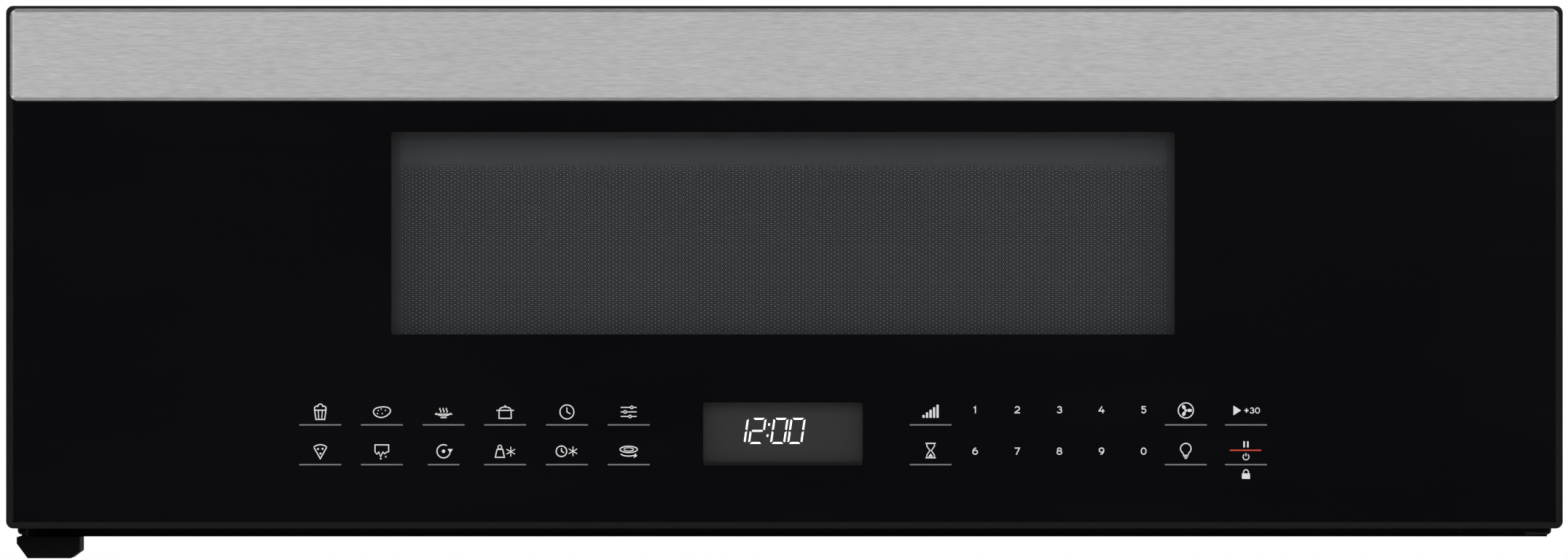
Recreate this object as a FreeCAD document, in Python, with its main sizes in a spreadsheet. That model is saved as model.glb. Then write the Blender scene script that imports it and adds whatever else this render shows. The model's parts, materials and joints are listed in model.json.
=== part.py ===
"""Low-profile over-the-range microwave oven, modelled as a parametric document in millimetres.

Frame: +X is the right-hand side seen from the front, -Y is the front, +Z is up. The origin is
the centre of the back face of the wall mounting plate, where the oven meets the wall.

The case is a folded sheet wrapper with a back panel, a base pan and a front frame. The cavity
sits in its middle. Air rises from two grease filters in the base to two flat centrifugal
blowers above the cavity. The whole front is one glass door on a vertical hinge at the left.
"""
import FreeCAD, Part
import math
import os

import Sketcher
from FreeCAD import Placement, Rotation, Vector

SIZES = {
    # the front seen in the photograph, and the case behind it
    "door_overhang": 4.4,
    "front_height": 254.6,
    "case_width": 750.0,
    "case_height": 257.3,
    "case_depth": 375.0,
    "case_corner": 2.0,
    "sheet": 1.0,
    "flange": 12.0,
    "base_inset": 2.0,
    "fit": 0.3,
    # wall mounting plate and cabinet bolts
    "wall_plate_sheet": 1.6,
    "wall_plate_width": 640.0,
    "wall_plate_height": 190.0,
    "wall_bolt_pitch": 406.4,
    "wall_bolt_rise": 120.0,
    "wall_bolt_radius": 4.0,
    "wall_slot_width": 90.0,
    "wall_slot_height": 30.0,
    "wall_slot_pitch": 220.0,
    "hook_pitch": 440.0,
    "hook_width": 24.0,
    "hook_reach": 12.0,
    "hook_lip": 12.0,
    "hook_drop": 80.0,
    "hook_slot_height": 16.0,
    "cabinet_bolt_pitch": 520.0,
    "cabinet_bolt_back": 165.0,
    "cabinet_bolt_radius": 3.4,
    "weld_nut_radius": 8.0,
    "weld_nut_sides": 6,
    "weld_nut_height": 6.0,
    # cooking cavity
    "front_sheet": 1.2,
    "cavity_side_gap": 125.0,
    "cavity_height": 165.0,
    "cavity_back_gap": 41.2,
    "cavity_corner": 12.0,
    "cavity_lift": 41.0,
    "cavity_sheet": 1.0,
    "cavity_flange": 8.0,
    "lamp_slot_width": 3.0,
    "lamp_slot_height": 18.0,
    "lamp_slot_pitch": 7.0,
    "lamp_slot_count": 3,
    "lamp_fan_gap": 51.2,
    "lamp_drop": 40.0,
    "lamp_plate": 40.0,
    "lamp_depth": 34.0,
    "bulb_radius": 9.0,
    "socket_width": 26.0,
    "cavity_vent_width": 3.0,
    "cavity_vent_height": 22.0,
    "cavity_vent_pitch": 9.0,
    "cavity_vent_count": 8,
    "cavity_vent_back_gap": 40.0,
    "cavity_vent_drop": 16.0,
    "frame_vent_width": 36.0,
    "frame_vent_height": 8.0,
    "frame_vent_pitch": 48.0,
    "frame_vent_count": 10,
    "frame_vent_drop": 14.0,
    "sensor_radius": 8.0,
    "sensor_sides": 16,
    "sensor_height": 9.0,
    "sensor_flange": 24.0,
    # turntable
    "tray_wall_gap": 7.0,
    "tray_glass": 5.0,
    "tray_rim_height": 10.0,
    "tray_rim_width": 18.0,
    "tray_rim_thick": 3.0,
    "tray_lug_height": 5.0,
    "tray_lug_length": 6.0,
    "tray_lug_width": 4.0,
    "roller_radius": 7.5,
    "roller_width": 6.0,
    "roller_sides": 24,
    "roller_track": 110.0,
    "axle_half": 1.4,
    "axle_bore": 2.2,
    "stay_hub_radius": 30.0,
    "stay_hub_hole": 20.0,
    "stay_arm_width": 8.0,
    "stay_height": 5.0,
    "axle_end": 1.5,
    "axle_running": 0.15,
    "bore_sides": 12,
    "coupler_hub": 9.0,
    "coupler_radius": 16.0,
    "coupler_sides": 6,
    "coupler_lobe": 5.0,
    "coupler_lift": 1.0,
    "shaft_radius": 3.5,
    "shaft_hole": 8.0,
    "shaft_end_gap": 1.0,
    "motor_radius": 25.0,
    "motor_height": 20.0,
    "motor_bore_depth": 12.0,
    "motor_ear_reach": 34.0,
    "motor_ear_width": 12.0,
    "motor_ear_thick": 1.5,
    # grease filters and surface lights in the base
    "filter_length": 210.0,
    "filter_width": 125.0,
    "filter_thick": 8.0,
    "filter_side_gap": 123.0,
    "filter_front_gap": 78.0,
    "filter_ledge": 6.0,
    "filter_frame": 7.0,
    "filter_mesh_inset": 2.5,
    "filter_pull_width": 22.0,
    "filter_pull_length": 12.0,
    "filter_pull_thick": 1.5,
    "pan_lip_height": 12.0,
    "light_length": 68.0,
    "light_width": 30.0,
    "light_offset": 150.0,
    "light_front_gap": 24.0,
    "light_lip": 3.0,
    "lens_thick": 1.6,
    "light_board_inset": 5.0,
    "light_board_thick": 6.0,
    # microwave power train, right of the cavity
    "waveguide_depth": 28.0,
    "waveguide_width": 80.0,
    "waveguide_height": 116.0,
    "waveguide_lead": 25.0,
    "waveguide_drop": 10.0,
    "waveguide_wall": 1.0,
    "port_height": 44.0,
    "port_width": 62.0,
    "port_lift": 8.0,
    "mica_overlap": 8.0,
    "mica_thick": 0.8,
    "magnetron_depth": 58.0,
    "magnetron_width": 84.0,
    "magnetron_height": 76.0,
    "yoke_sheet": 2.0,
    "anode_half": 15.0,
    "magnet_half": 24.0,
    "magnet_thick": 8.0,
    "fin_thick": 0.8,
    "fin_count": 6,
    "antenna_radius": 7.5,
    "antenna_hole": 10.0,
    "antenna_length": 22.0,
    "filter_box_depth": 20.0,
    "filter_box_width": 50.0,
    "filter_box_height": 40.0,
    "transformer_width": 76.0,
    "transformer_depth": 62.0,
    "transformer_height": 64.0,
    "transformer_front_gap": 62.0,
    "transformer_side_gap": 2.0,
    "core_leg": 13.0,
    "coil_overhang": 13.0,
    "coil_gap": 3.0,
    "transformer_foot": 8.0,
    "transformer_foot_thick": 2.0,
    "capacitor_length": 52.0,
    "capacitor_width": 32.0,
    "capacitor_height": 82.0,
    "capacitor_back_gap": 120.0,
    "capacitor_side_gap": 20.0,
    "terminal_height": 9.0,
    "terminal_width": 6.3,
    "terminal_thick": 0.8,
    "terminal_pitch": 22.0,
    "clamp_height": 30.0,
    "clamp_sheet": 1.0,
    "clamp_foot": 10.0,
    "fan_radius": 46.0,
    "fan_hub_radius": 14.0,
    "fan_hub_sides": 16,
    "fan_blade_root": 4.0,
    "fan_blade_count": 5,
    "fan_blade_thick": 1.6,
    "fan_blade_depth": 16.0,
    "fan_pitch": 32.0,
    "fan_tip_gap": 1.5,
    "fan_back_gap": 52.0,
    "fan_plate_half": 54.0,
    "fan_centre_height": 15.0,
    "fan_motor_half": 17.0,
    "fan_motor_depth": 20.0,
    "fan_motor_gap": 2.0,
    "fan_arm_width": 6.0,
    "fan_arm_thick": 2.0,
    "fan_shaft_radius": 2.5,
    "board_length": 150.0,
    "board_height": 90.0,
    "board_thick": 1.6,
    "board_standoff": 8.0,
    "board_front_gap": 125.0,
    "board_lift": 68.0,
    "board_margin": 8.0,
    "standoff_half": 3.0,
    # ventilation above the cavity
    "blower_offset": 212.0,
    "blower_front_gap": 229.0,
    "wheel_radius": 66.0,
    "wheel_height": 26.0,
    "wheel_blade_count": 18,
    "wheel_blade_depth": 12.0,
    "wheel_blade_thick": 1.2,
    "wheel_hub_sides": 12,
    "wheel_blade_lean": 5.0,
    "wheel_plate": 1.6,
    "wheel_hub_radius": 22.0,
    "wheel_lift": 3.0,
    "scroll_start": 74.0,
    "scroll_step": 7.0,
    "scroll_tongue": 44.0,
    "scroll_height": 38.0,
    "scroll_wall": 1.5,
    "scroll_inlet": 54.0,
    "blower_motor_half": 13.0,
    "blower_motor_height": 16.0,
    "blower_shaft_radius": 2.5,
    "blower_shaft_length": 10.0,
    "exhaust_width": 254.0,
    "exhaust_depth": 82.5,
    "exhaust_back_gap": 20.0,
    "exhaust_wall": 1.2,
    "exhaust_lip": 6.0,
    "exhaust_lip_thick": 1.2,
    "damper_sheet": 1.2,
    "damper_drop": 5.4,
    "damper_play": 1.0,
    "damper_pivot_gap": 3.5,
    "damper_pin_radius": 2.0,
    "damper_ledge": 4.0,
    "grille_length": 600.0,
    "grille_width": 34.0,
    "grille_front_gap": 14.0,
    "grille_lip": 3.0,
    "grille_top": 0.8,
    "grille_wall": 1.5,
    "grille_depth": 18.0,
    "grille_slat_count": 4,
    "grille_slat_width": 8.0,
    "grille_slat_thick": 1.2,
    "grille_slat_tilt": 40.0,
    "grille_rib_count": 3,
    "grille_rib_height": 7.0,
    "charcoal_thick": 9.0,
    "cord_hole_half": 11.0,
    "cord_bore": 7.0,
    "cord_flange": 3.0,
    "cord_flange_thick": 1.2,
    "cord_hole_side_gap": 40.0,
    "cord_hole_back_gap": 45.0,
    # door shell, glass and trim
    "door_gap": 2.0,
    "door_rise": 4.3,
    "door_depth": 40.0,
    "door_corner": 3.5,
    "door_edge": 1.4,
    "rim": 3.3,
    "rim_bottom": 3.0,
    "glass_thick": 4.0,
    "glass_bevel": 0.5,
    "door_web": 2.5,
    "web_ledge": 8.0,
    "web_bar_height": 10.0,
    "web_bar_drop": 164.5,
    "stile_width": 30.0,
    "stile_end": 34.0,
    "trim_fit": 0.1,
    "band_side": 1.9,
    "band_height": 45.3,
    "band_top_gap": 1.4,
    "band_proud": 2.1,
    "band_seat": 2.9,
    "band_sheet": 0.8,
    "band_corner": 3.5,
    "band_bend": 1.2,
    "cover_thick": 3.0,
    # door microwave choke and window
    "choke_overlap": 26.0,
    "choke_rise": 20.0,
    "choke_channel": 20.0,
    "choke_depth": 25.2,
    "choke_sheet": 1.2,
    "choke_slot_width": 3.0,
    "choke_slot_depth": 16.0,
    "choke_slot_pitch": 60.0,
    "choke_slot_count": 8,
    "choke_side_slot_count": 3,
    "choke_cover_thick": 1.8,
    "window_left": 188.6,
    "window_right": 187.6,
    "window_top_drop": 63.5,
    "window_height": 95.0,
    "screen_lap": 9.0,
    "screen_sheet": 0.8,
    "inner_window_thick": 1.5,
    # touch controls and display
    "touch_left": 256.0,
    "touch_right": 240.0,
    "touch_top_drop": 176.0,
    "touch_height": 58.0,
    "touch_thick": 1.6,
    "display_width": 77.8,
    "display_height": 29.0,
    "display_top_drop": 193.2,
    "display_shift": 0.7,
    "display_depth": 4.5,
    "display_lap": 3.0,
    # pocket handle in the free edge
    "scoop_height": 100.0,
    "scoop_depth": 22.0,
    "scoop_width": 14.0,
    "scoop_wall": 2.5,
    "scoop_corner": 6.0,
    # hinge on the left
    "hinge_inset": 16.0,
    "hinge_side_inset": 15.2,
    "hinge_arm_width": 16.0,
    "hinge_arm_thick": 3.0,
    "hinge_pin_radius": 4.0,
    "hinge_pin_reach": 13.0,
    "hinge_collar_radius": 6.0,
    "hinge_running": 0.06,
    "hinge_bore_length": 15.0,
    "hinge_top_drop": 9.0,
    "hinge_slot_room": 0.9,
    "hinge_slot_front": 5.0,
    "hinge_slot_side": 1.5,
    "hinge_plate_width": 34.0,
    "hinge_plate_height": 30.0,
    "hinge_foot_back": 32.0,
    "hinge_cover_left": 4.9,
    "hinge_cover_width": 30.8,
    "hinge_cover_drop": 10.3,
    "hinge_cover_side": 3.1,
    "hinge_cover_toe": 5.3,
    "hinge_cover_heel": 4.4,
    "hinge_cover_heel_rise": 3.3,
    "hinge_cover_nose": 14.0,
    "hinge_cover_back": 40.0,
    "hinge_cover_wall": 2.0,
    # door latch and interlock
    "latch_side_gap": 83.0,
    "latch_arm_pitch": 96.0,
    "latch_arm_thick": 4.0,
    "latch_arm_height": 9.0,
    "latch_reach": 25.0,
    "latch_nose": 3.0,
    "latch_nose_length": 6.0,
    "latch_lift": 4.5,
    "latch_bar_width": 12.0,
    "latch_bar_thick": 4.0,
    "latch_bar_end": 22.0,
    "latch_slot_side": 3.0,
    "latch_slot_end": 1.0,
    "latch_guide_thick": 1.6,
    "latch_guide_height": 10.0,
    "latch_guide_pitch": 50.0,
    "catch_thick": 3.0,
    "keeper_width": 26.0,
    "keeper_depth": 40.0,
    "keeper_wall": 2.5,
    "keeper_margin": 12.0,
    "switch_length": 20.0,
    "switch_height": 11.0,
    "switch_thick": 7.0,
    "bumper_half": 4.5,
    "bumper_across": 330.0,
    "bumper_up": 100.0,
}

DOC = FreeCAD.newDocument("over_the_range_microwave")
SHEET = DOC.addObject("Spreadsheet::Sheet", "Sizes")
for row, (alias, number) in enumerate(SIZES.items(), start=1):
    SHEET.set(f"A{row}", alias)
    SHEET.set(f"B{row}", str(number))
    SHEET.setAlias(f"B{row}", alias)
DOC.recompute()


class Size:
    """A length that carries both its number and the sheet expression that gives it."""

    def __init__(self, number, text):
        self.number = float(number)
        self.text = text

    def __float__(self):
        return self.number

    def __add__(self, other):
        return Size(self.number + float(other), f"({self.text} + {text_of(other)})")

    def __sub__(self, other):
        return Size(self.number - float(other), f"({self.text} - {text_of(other)})")

    def __mul__(self, other):
        return Size(self.number * float(other), f"({self.text} * {text_of(other)})")

    def __truediv__(self, other):
        return Size(self.number / float(other), f"({self.text} / {text_of(other)})")

    def __radd__(self, other):
        return Size(float(other), text_of(other)) + self

    def __rsub__(self, other):
        return Size(float(other), text_of(other)) - self

    def __rmul__(self, other):
        return Size(float(other), text_of(other)) * self

    def __neg__(self):
        return Size(-self.number, f"(0 - {self.text})")


class Sheet:
    """Reads a size of the spreadsheet by its alias, as in S.case_width."""

    def __getattr__(self, alias):
        return Size(getattr(SHEET, alias), f"Sizes.{alias}")


def text_of(value):
    """The expression text of a Size or of a plain number."""
    return value.text if isinstance(value, Size) else repr(float(value))


S = Sheet()
NODES = {}
BOTH = (-1, 1)

# Planes that several pieces share, each worked out from the driving sizes.
half_case = S.case_width / 2
case_top = S.case_height / 2
case_bottom = -case_top
case_back = -S.wall_plate_sheet
case_front = -S.case_depth
shell_bottom = case_bottom + S.sheet
inner_bottom = shell_bottom + S.sheet
inner_top = case_top - S.sheet
inner_side = half_case - S.sheet
frame_back = case_front + S.front_sheet

cavity_side = half_case - S.cavity_side_gap
cavity_outer_side = cavity_side + S.cavity_sheet
cavity_floor = case_bottom + S.cavity_lift
cavity_ceiling = cavity_floor + S.cavity_height
cavity_roof = cavity_ceiling + S.cavity_sheet
cavity_under = cavity_floor - S.cavity_sheet
cavity_rear = case_back - S.sheet - S.cavity_back_gap
cavity_middle = (frame_back + cavity_rear) / 2
tray_radius = (cavity_rear - frame_back) / 2 - S.tray_wall_gap

half_front = half_case + S.door_overhang
latch_across = half_case - S.latch_side_gap
band_side = half_front - S.band_side
door_back = case_front - S.door_gap
door_face = door_back - S.door_depth
door_bottom = case_bottom + S.door_rise
door_top = door_bottom + S.front_height
glass_back = door_face + S.glass_thick
web_back = glass_back + S.door_web
band_top = door_top - S.band_top_gap
band_bottom = band_top - S.band_height
band_back = door_face + S.band_seat

hinge_across = -half_front + S.hinge_side_inset
hinge_along = door_back - S.hinge_inset


# Building tools ------------------------------------------------------------------------------

def bind(piece, **lengths):
    """Binds properties of a piece to sheet expressions; __ in a name stands for a dot."""
    for prop, length in lengths.items():
        piece.setExpression(prop.replace("__", "."), text_of(length))
    return piece


def place(piece, x, y, z):
    return bind(piece, Placement__Base__x=x, Placement__Base__y=y, Placement__Base__z=z)


def block(label, x, y, z):
    """A box between the low and high values given for each axis."""
    box = DOC.addObject("Part::Box", label)
    bind(box, Length=x[1] - x[0], Width=y[1] - y[0], Height=z[1] - z[0])
    return place(box, x[0], y[0], z[0])


AXIS_TURNS = {
    "x": Rotation(Vector(0, 1, 0), 90),
    "y": Rotation(Vector(1, 0, 0), -90),
    "z": Rotation(),
}


def rod(label, axis, start, radius, length):
    """A cylinder that runs from its start point along +X, +Y or +Z."""
    cylinder = DOC.addObject("Part::Cylinder", label)
    cylinder.Placement = Placement(Vector(), AXIS_TURNS[axis])
    bind(cylinder, Radius=radius, Height=length)
    return place(cylinder, *start)


def prism(label, sides, axis, start, radius, length):
    """A bar with flat sides that runs from its start point; radius is to its corners."""
    bar = DOC.addObject("Part::Prism", label)
    bar.Placement = Placement(Vector(), AXIS_TURNS[axis])
    bind(bar, Polygon=sides, Circumradius=radius, Height=length)
    return place(bar, *start)


def join(label, *pieces):
    fused = DOC.addObject("Part::MultiFuse", label)
    fused.Shapes = list(pieces)
    fused.Refine = True
    return fused


def carve(label, base, *tools):
    """The base with every tool cut out of it."""
    cut = DOC.addObject("Part::Cut", label)
    cut.Base = base
    cut.Tool = tools[0] if len(tools) == 1 else join(label + "_tools", *tools)
    cut.Refine = True
    return cut


def group(label, *pieces):
    """Separate solids that share one node."""
    compound = DOC.addObject("Part::Compound", label)
    compound.Links = list(pieces)
    return compound


def keep(node, piece):
    """Registers a finished sub-part under its node name."""
    piece.Label = node
    NODES[node] = piece
    return piece


# Sketch outlines -----------------------------------------------------------------------------

def fix(sketch, kind, *args, name=None, length=None):
    index = sketch.addConstraint(Sketcher.Constraint(kind, *args))
    if name:
        sketch.renameConstraint(index, name)
        sketch.setExpression(f"Constraints.{name}", text_of(length))


def rectangle(width, height):
    """Draws a rectangle whose lower left corner is the sketch's origin."""
    def draw(sketch):
        w, h = float(width), float(height)
        corners = [Vector(0, 0), Vector(w, 0), Vector(w, h), Vector(0, h)]
        for i in range(4):
            sketch.addGeometry(Part.LineSegment(corners[i], corners[(i + 1) % 4]))
        for i in range(4):
            fix(sketch, "Coincident", i, 2, (i + 1) % 4, 1)
            fix(sketch, "Horizontal" if i % 2 == 0 else "Vertical", i)
        fix(sketch, "Coincident", 0, 1, -1, 1)
        fix(sketch, "DistanceX", 0, 1, 0, 2, w, name="wide", length=width)
        fix(sketch, "DistanceY", 1, 1, 1, 2, h, name="high", length=height)
    return draw


def rounded(width, height, radius):
    """Draws a rectangle with rounded corners, its lower left corner at the sketch's origin."""
    def draw(sketch):
        w, h, r = float(width), float(height), float(radius)
        quarter = math.pi / 2
        sides = [
            (Vector(r, 0), Vector(w - r, 0)),
            (Vector(w, r), Vector(w, h - r)),
            (Vector(w - r, h), Vector(r, h)),
            (Vector(0, h - r), Vector(0, r)),
        ]
        centres = [Vector(w - r, r), Vector(w - r, h - r), Vector(r, h - r), Vector(r, r)]
        for i in range(4):
            circle = Part.Circle(centres[i], Vector(0, 0, 1), r)
            sketch.addGeometry(Part.LineSegment(*sides[i]))
            sketch.addGeometry(Part.ArcOfCircle(circle, (i - 1) * quarter, i * quarter))
        for i in range(8):
            fix(sketch, "Tangent", i, 2, (i + 1) % 8, 1)
        for i in range(4):
            fix(sketch, "Horizontal" if i % 2 == 0 else "Vertical", 2 * i)
        for i in (3, 5, 7):
            fix(sketch, "Equal", 1, i)
        fix(sketch, "PointOnObject", 6, 1, -2)
        fix(sketch, "PointOnObject", 0, 1, -1)
        fix(sketch, "DistanceX", 6, 1, 2, 1, w, name="wide", length=width)
        fix(sketch, "DistanceY", 0, 1, 4, 1, h, name="high", length=height)
        fix(sketch, "Radius", 1, r, name="corner", length=radius)
    return draw


def disc(radius):
    """Draws a circle about the sketch's origin."""
    def draw(sketch):
        sketch.addGeometry(Part.Circle(Vector(), Vector(0, 0, 1), float(radius)))
        fix(sketch, "Coincident", 0, 3, -1, 1)
        fix(sketch, "Radius", 0, float(radius), name="radius", length=radius)
    return draw


def regular(radius, sides):
    """Draws an outline of equal sides about the sketch's origin; radius is to its corners."""
    turns = [math.tau * number / int(float(sides)) for number in range(int(float(sides)))]
    return path(*[
        (radius * round(math.cos(turn), 9), radius * round(math.sin(turn), 9)) for turn in turns
    ])


def path(*corners):
    """Draws a closed outline. Each corner is (across, up), or (across, up, radius) where an arc
    of that radius runs on to the next corner; the arc turns left, or right if it is negative."""
    def draw(sketch):
        points = [Vector(float(c[0]), float(c[1])) for c in corners]
        for i, corner in enumerate(corners):
            here, there = points[i], points[(i + 1) % len(points)]
            if len(corner) == 2:
                sketch.addGeometry(Part.LineSegment(here, there))
            else:
                sketch.addGeometry(arc_between(here, there, float(corner[2])))
        ends = [(1, 2) if len(c) == 2 or float(c[2]) > 0 else (2, 1) for c in corners]
        for i in range(len(corners)):
            after = (i + 1) % len(corners)
            fix(sketch, "Coincident", i, ends[i][1], after, ends[after][0])
        for i, corner in enumerate(corners):
            x, y = points[i].x, points[i].y
            across, up = corner[0], corner[1]
            fix(sketch, "DistanceX", -1, 1, i, ends[i][0], x, name=f"x{i}", length=across)
            fix(sketch, "DistanceY", -1, 1, i, ends[i][0], y, name=f"y{i}", length=up)
            if len(corner) == 3:
                size = corner[2] if float(corner[2]) > 0 else -corner[2]
                fix(sketch, "Radius", i, float(size), name=f"r{i}", length=size)
    return draw


def arc_between(start, end, radius):
    """The short arc from start to end, turning left if radius is positive."""
    chord = end - start
    middle = (start + end) / 2
    rise = math.sqrt(max(radius * radius - chord.Length ** 2 / 4, 0.0))
    normal = Vector(-chord.y, chord.x, 0).normalize()
    centre = middle + normal * (rise if radius > 0 else -rise)
    first, last = (start, end) if radius > 0 else (end, start)
    angles = [math.atan2(p.y - centre.y, p.x - centre.x) for p in (first, last)]
    circle = Part.Circle(centre, Vector(0, 0, 1), abs(radius))
    return Part.ArcOfCircle(circle, angles[0], angles[1])


class Body:
    """A PartDesign body. Its sketches lie in planes of the part's own frame, and a span is the
    low and high value along the plane's normal."""

    def __init__(self, label):
        self.body = DOC.addObject("PartDesign::Body", label)
        self.planes = {f.Role: f for f in self.body.Origin.OriginFeatures}
        self.label = label
        self.steps = 0

    def sketch(self, plane, at, offset, draw):
        self.steps += 1
        name = f"{self.label}_sketch_{self.steps}"
        sketch = self.body.newObject("Sketcher::SketchObject", name)
        sketch.AttachmentSupport = [(self.planes[plane + "_Plane"], "")]
        sketch.MapMode = "FlatFace"
        bind(
            sketch,
            AttachmentOffset__Base__x=at[0],
            AttachmentOffset__Base__y=at[1],
            AttachmentOffset__Base__z=offset,
        )
        draw(sketch)
        return sketch

    def add(self, plane, span, at, draw):
        """Pads an outline over its span."""
        offset = -span[1] if plane == "XZ" else span[0]
        return self._extrude("PartDesign::Pad", plane, span, at, offset, draw)

    def cut(self, plane, span, at, draw):
        """Pockets an outline over its span."""
        offset = -span[0] if plane == "XZ" else span[1]
        return self._extrude("PartDesign::Pocket", plane, span, at, offset, draw)

    def _extrude(self, kind, plane, span, at, offset, draw):
        sketch = self.sketch(plane, at, offset, draw)
        feature = self.body.newObject(kind, f"{self.label}_step_{self.steps}")
        feature.Profile = sketch
        bind(feature, Length=span[1] - span[0])
        self.last = feature
        return feature

    def revolve(self, at, draw):
        """Turns an outline drawn in the XZ plane about the vertical line through at."""
        sketch = self.sketch("XZ", (at[0], at[2]), -at[1], draw)
        feature = self.body.newObject("PartDesign::Revolution", f"{self.label}_turned")
        feature.Profile = sketch
        feature.ReferenceAxis = (sketch, ["V_Axis"])
        feature.Angle = 360
        self.last = feature
        return feature

    def repeat(self, feature, axis, pitch, count):
        """Repeats a feature in a row along its sketch's H_Axis or V_Axis."""
        row = self.body.newObject("PartDesign::LinearPattern", f"{self.label}_row_{self.steps}")
        row.Originals = [feature]
        row.Direction = (feature.Profile[0], [axis])
        bind(row, Length=pitch * (count - 1), Occurrences=count)
        self.body.Tip = row
        self.last = row
        return row

    def spin(self, feature, count):
        """Repeats a feature about the normal at its sketch's origin."""
        ring = self.body.newObject("PartDesign::PolarPattern", f"{self.label}_ring_{self.steps}")
        ring.Originals = [feature]
        ring.Axis = (feature.Profile[0], ["N_Axis"])
        ring.Angle = 360
        bind(ring, Occurrences=count)
        self.body.Tip = ring
        self.last = ring
        return ring

    def dress(self, kind, prop, amount, chosen):
        """Fillets or chamfers those edges of the last feature that chosen accepts."""
        DOC.recompute()
        before = self.last
        names = [f"Edge{i}" for i, edge in enumerate(before.Shape.Edges, 1) if chosen(edge)]
        feature = self.body.newObject("PartDesign::" + kind, f"{self.label}_{kind}_{self.steps}")
        feature.Base = (before, names)
        bind(feature, **{prop: amount})
        self.last = feature
        return feature


def on_plane(axis, level):
    """Chooses edges that lie wholly in the plane axis = level."""
    def chosen(edge):
        box = edge.BoundBox
        low, high = getattr(box, axis + "Min"), getattr(box, axis + "Max")
        return abs(low - float(level)) < 1e-4 and abs(high - float(level)) < 1e-4
    return chosen


def tilted(label, turn, corner, length, width, height):
    """A box turned about its own low corner."""
    box = DOC.addObject("Part::Box", label)
    box.Placement = Placement(Vector(), turn)
    bind(box, Length=length, Width=width, Height=height)
    return place(box, *corner)


def spoke(label, sides, angle, centre, start, length, radius):
    """A flat-sided bar that runs outward from a vertical axis, at an angle from +X in degrees."""
    across = math.cos(math.radians(angle))
    along = math.sin(math.radians(angle))
    bar = DOC.addObject("Part::Prism", label)
    bar.Placement = Placement(Vector(), Rotation(Vector(-along, across, 0), 90))
    bind(bar, Polygon=sides, Circumradius=radius, Height=length)
    return place(bar, centre[0] + start * across, centre[1] + start * along, centre[2])


def mirrored(label, piece):
    """The piece seen in the plane that halves the oven from left to right."""
    twin = DOC.addObject("Part::Mirroring", label)
    twin.Source = piece
    twin.Base = Vector()
    twin.Normal = Vector(1, 0, 0)
    return twin


# Places that belong to more than one sub-part ------------------------------------------------

exhaust_rear = case_back - S.exhaust_back_gap
exhaust_front = exhaust_rear - S.exhaust_depth
exhaust_side = S.exhaust_width / 2
grille_front = case_front + S.grille_front_gap
grille_side = S.grille_length / 2
cord_across = half_case - S.cord_hole_side_gap
cord_along = case_back - S.cord_hole_back_gap
bolt_across = S.cabinet_bolt_pitch / 2
bolt_along = case_front + S.cabinet_bolt_back
panel_front = case_back - S.sheet

filter_front = case_front + S.filter_front_gap
filter_inner = half_case - S.filter_side_gap - S.filter_length
well_ceiling = case_bottom + S.filter_thick + S.fit
well_top = well_ceiling + S.sheet
light_front = case_front + S.light_front_gap

arm_low = -(S.latch_arm_height / 2)
latch_tip = door_back + S.latch_reach
nose_front = latch_tip - S.latch_nose_length
arm_slot_low = arm_low - S.latch_nose - S.latch_slot_end
arm_slot_height = S.latch_nose + S.latch_arm_height + S.latch_lift + S.latch_slot_end * 2
arm_slot_width = S.latch_arm_thick + S.latch_slot_side * 2

hinge_arm_top = door_top - S.hinge_top_drop
hinge_arm_low = hinge_arm_top - S.hinge_arm_thick
hinge_slot_low = hinge_arm_low - S.hinge_slot_room
hinge_slot_high = hinge_arm_top + S.hinge_slot_room

motor_top = cavity_under
motor_bottom = motor_top - S.motor_height
roller_axis = cavity_floor + S.fit + S.roller_radius
tray_under = roller_axis + S.roller_radius + S.fit

waveguide_front = cavity_middle - S.waveguide_lead
waveguide_top = cavity_ceiling - S.waveguide_drop
waveguide_low = waveguide_top - S.waveguide_height
waveguide_side = cavity_outer_side + S.waveguide_depth
port_front = waveguide_front + (S.waveguide_width - S.port_width) / 2
port_low = waveguide_low + S.port_lift
tube_along = waveguide_front + S.waveguide_width / 2
tube_height = waveguide_top - S.magnetron_height / 2

fan_across = (cavity_outer_side + inner_side) / 2
fan_along = panel_front - S.fan_back_gap
fan_height = S.fan_centre_height

lamp_along = fan_along - S.lamp_fan_gap
lamp_low = cavity_ceiling - S.lamp_drop

blower_along = case_front + S.blower_front_gap
housing_floor = cavity_roof + S.scroll_wall
housing_top = cavity_roof + S.scroll_height
mouth_front = blower_along + S.scroll_tongue
mouth_rear = blower_along + S.scroll_start + S.scroll_step * 2.5

cover_front = door_back - S.cover_thick
choke_front = cover_front - S.choke_depth
choke_side = cavity_side + S.choke_overlap
choke_low = cavity_floor - S.choke_rise
choke_high = cavity_ceiling + S.choke_rise
window_high = door_top - S.window_top_drop
window_low = window_high - S.window_height
window_width = S.window_left + S.window_right
display_left = -(S.display_width / 2) - S.display_shift
display_low = door_top - S.display_top_drop - S.display_height
scoop_low = -(S.scoop_height / 2)


# Case and mounting ---------------------------------------------------------------------------

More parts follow.
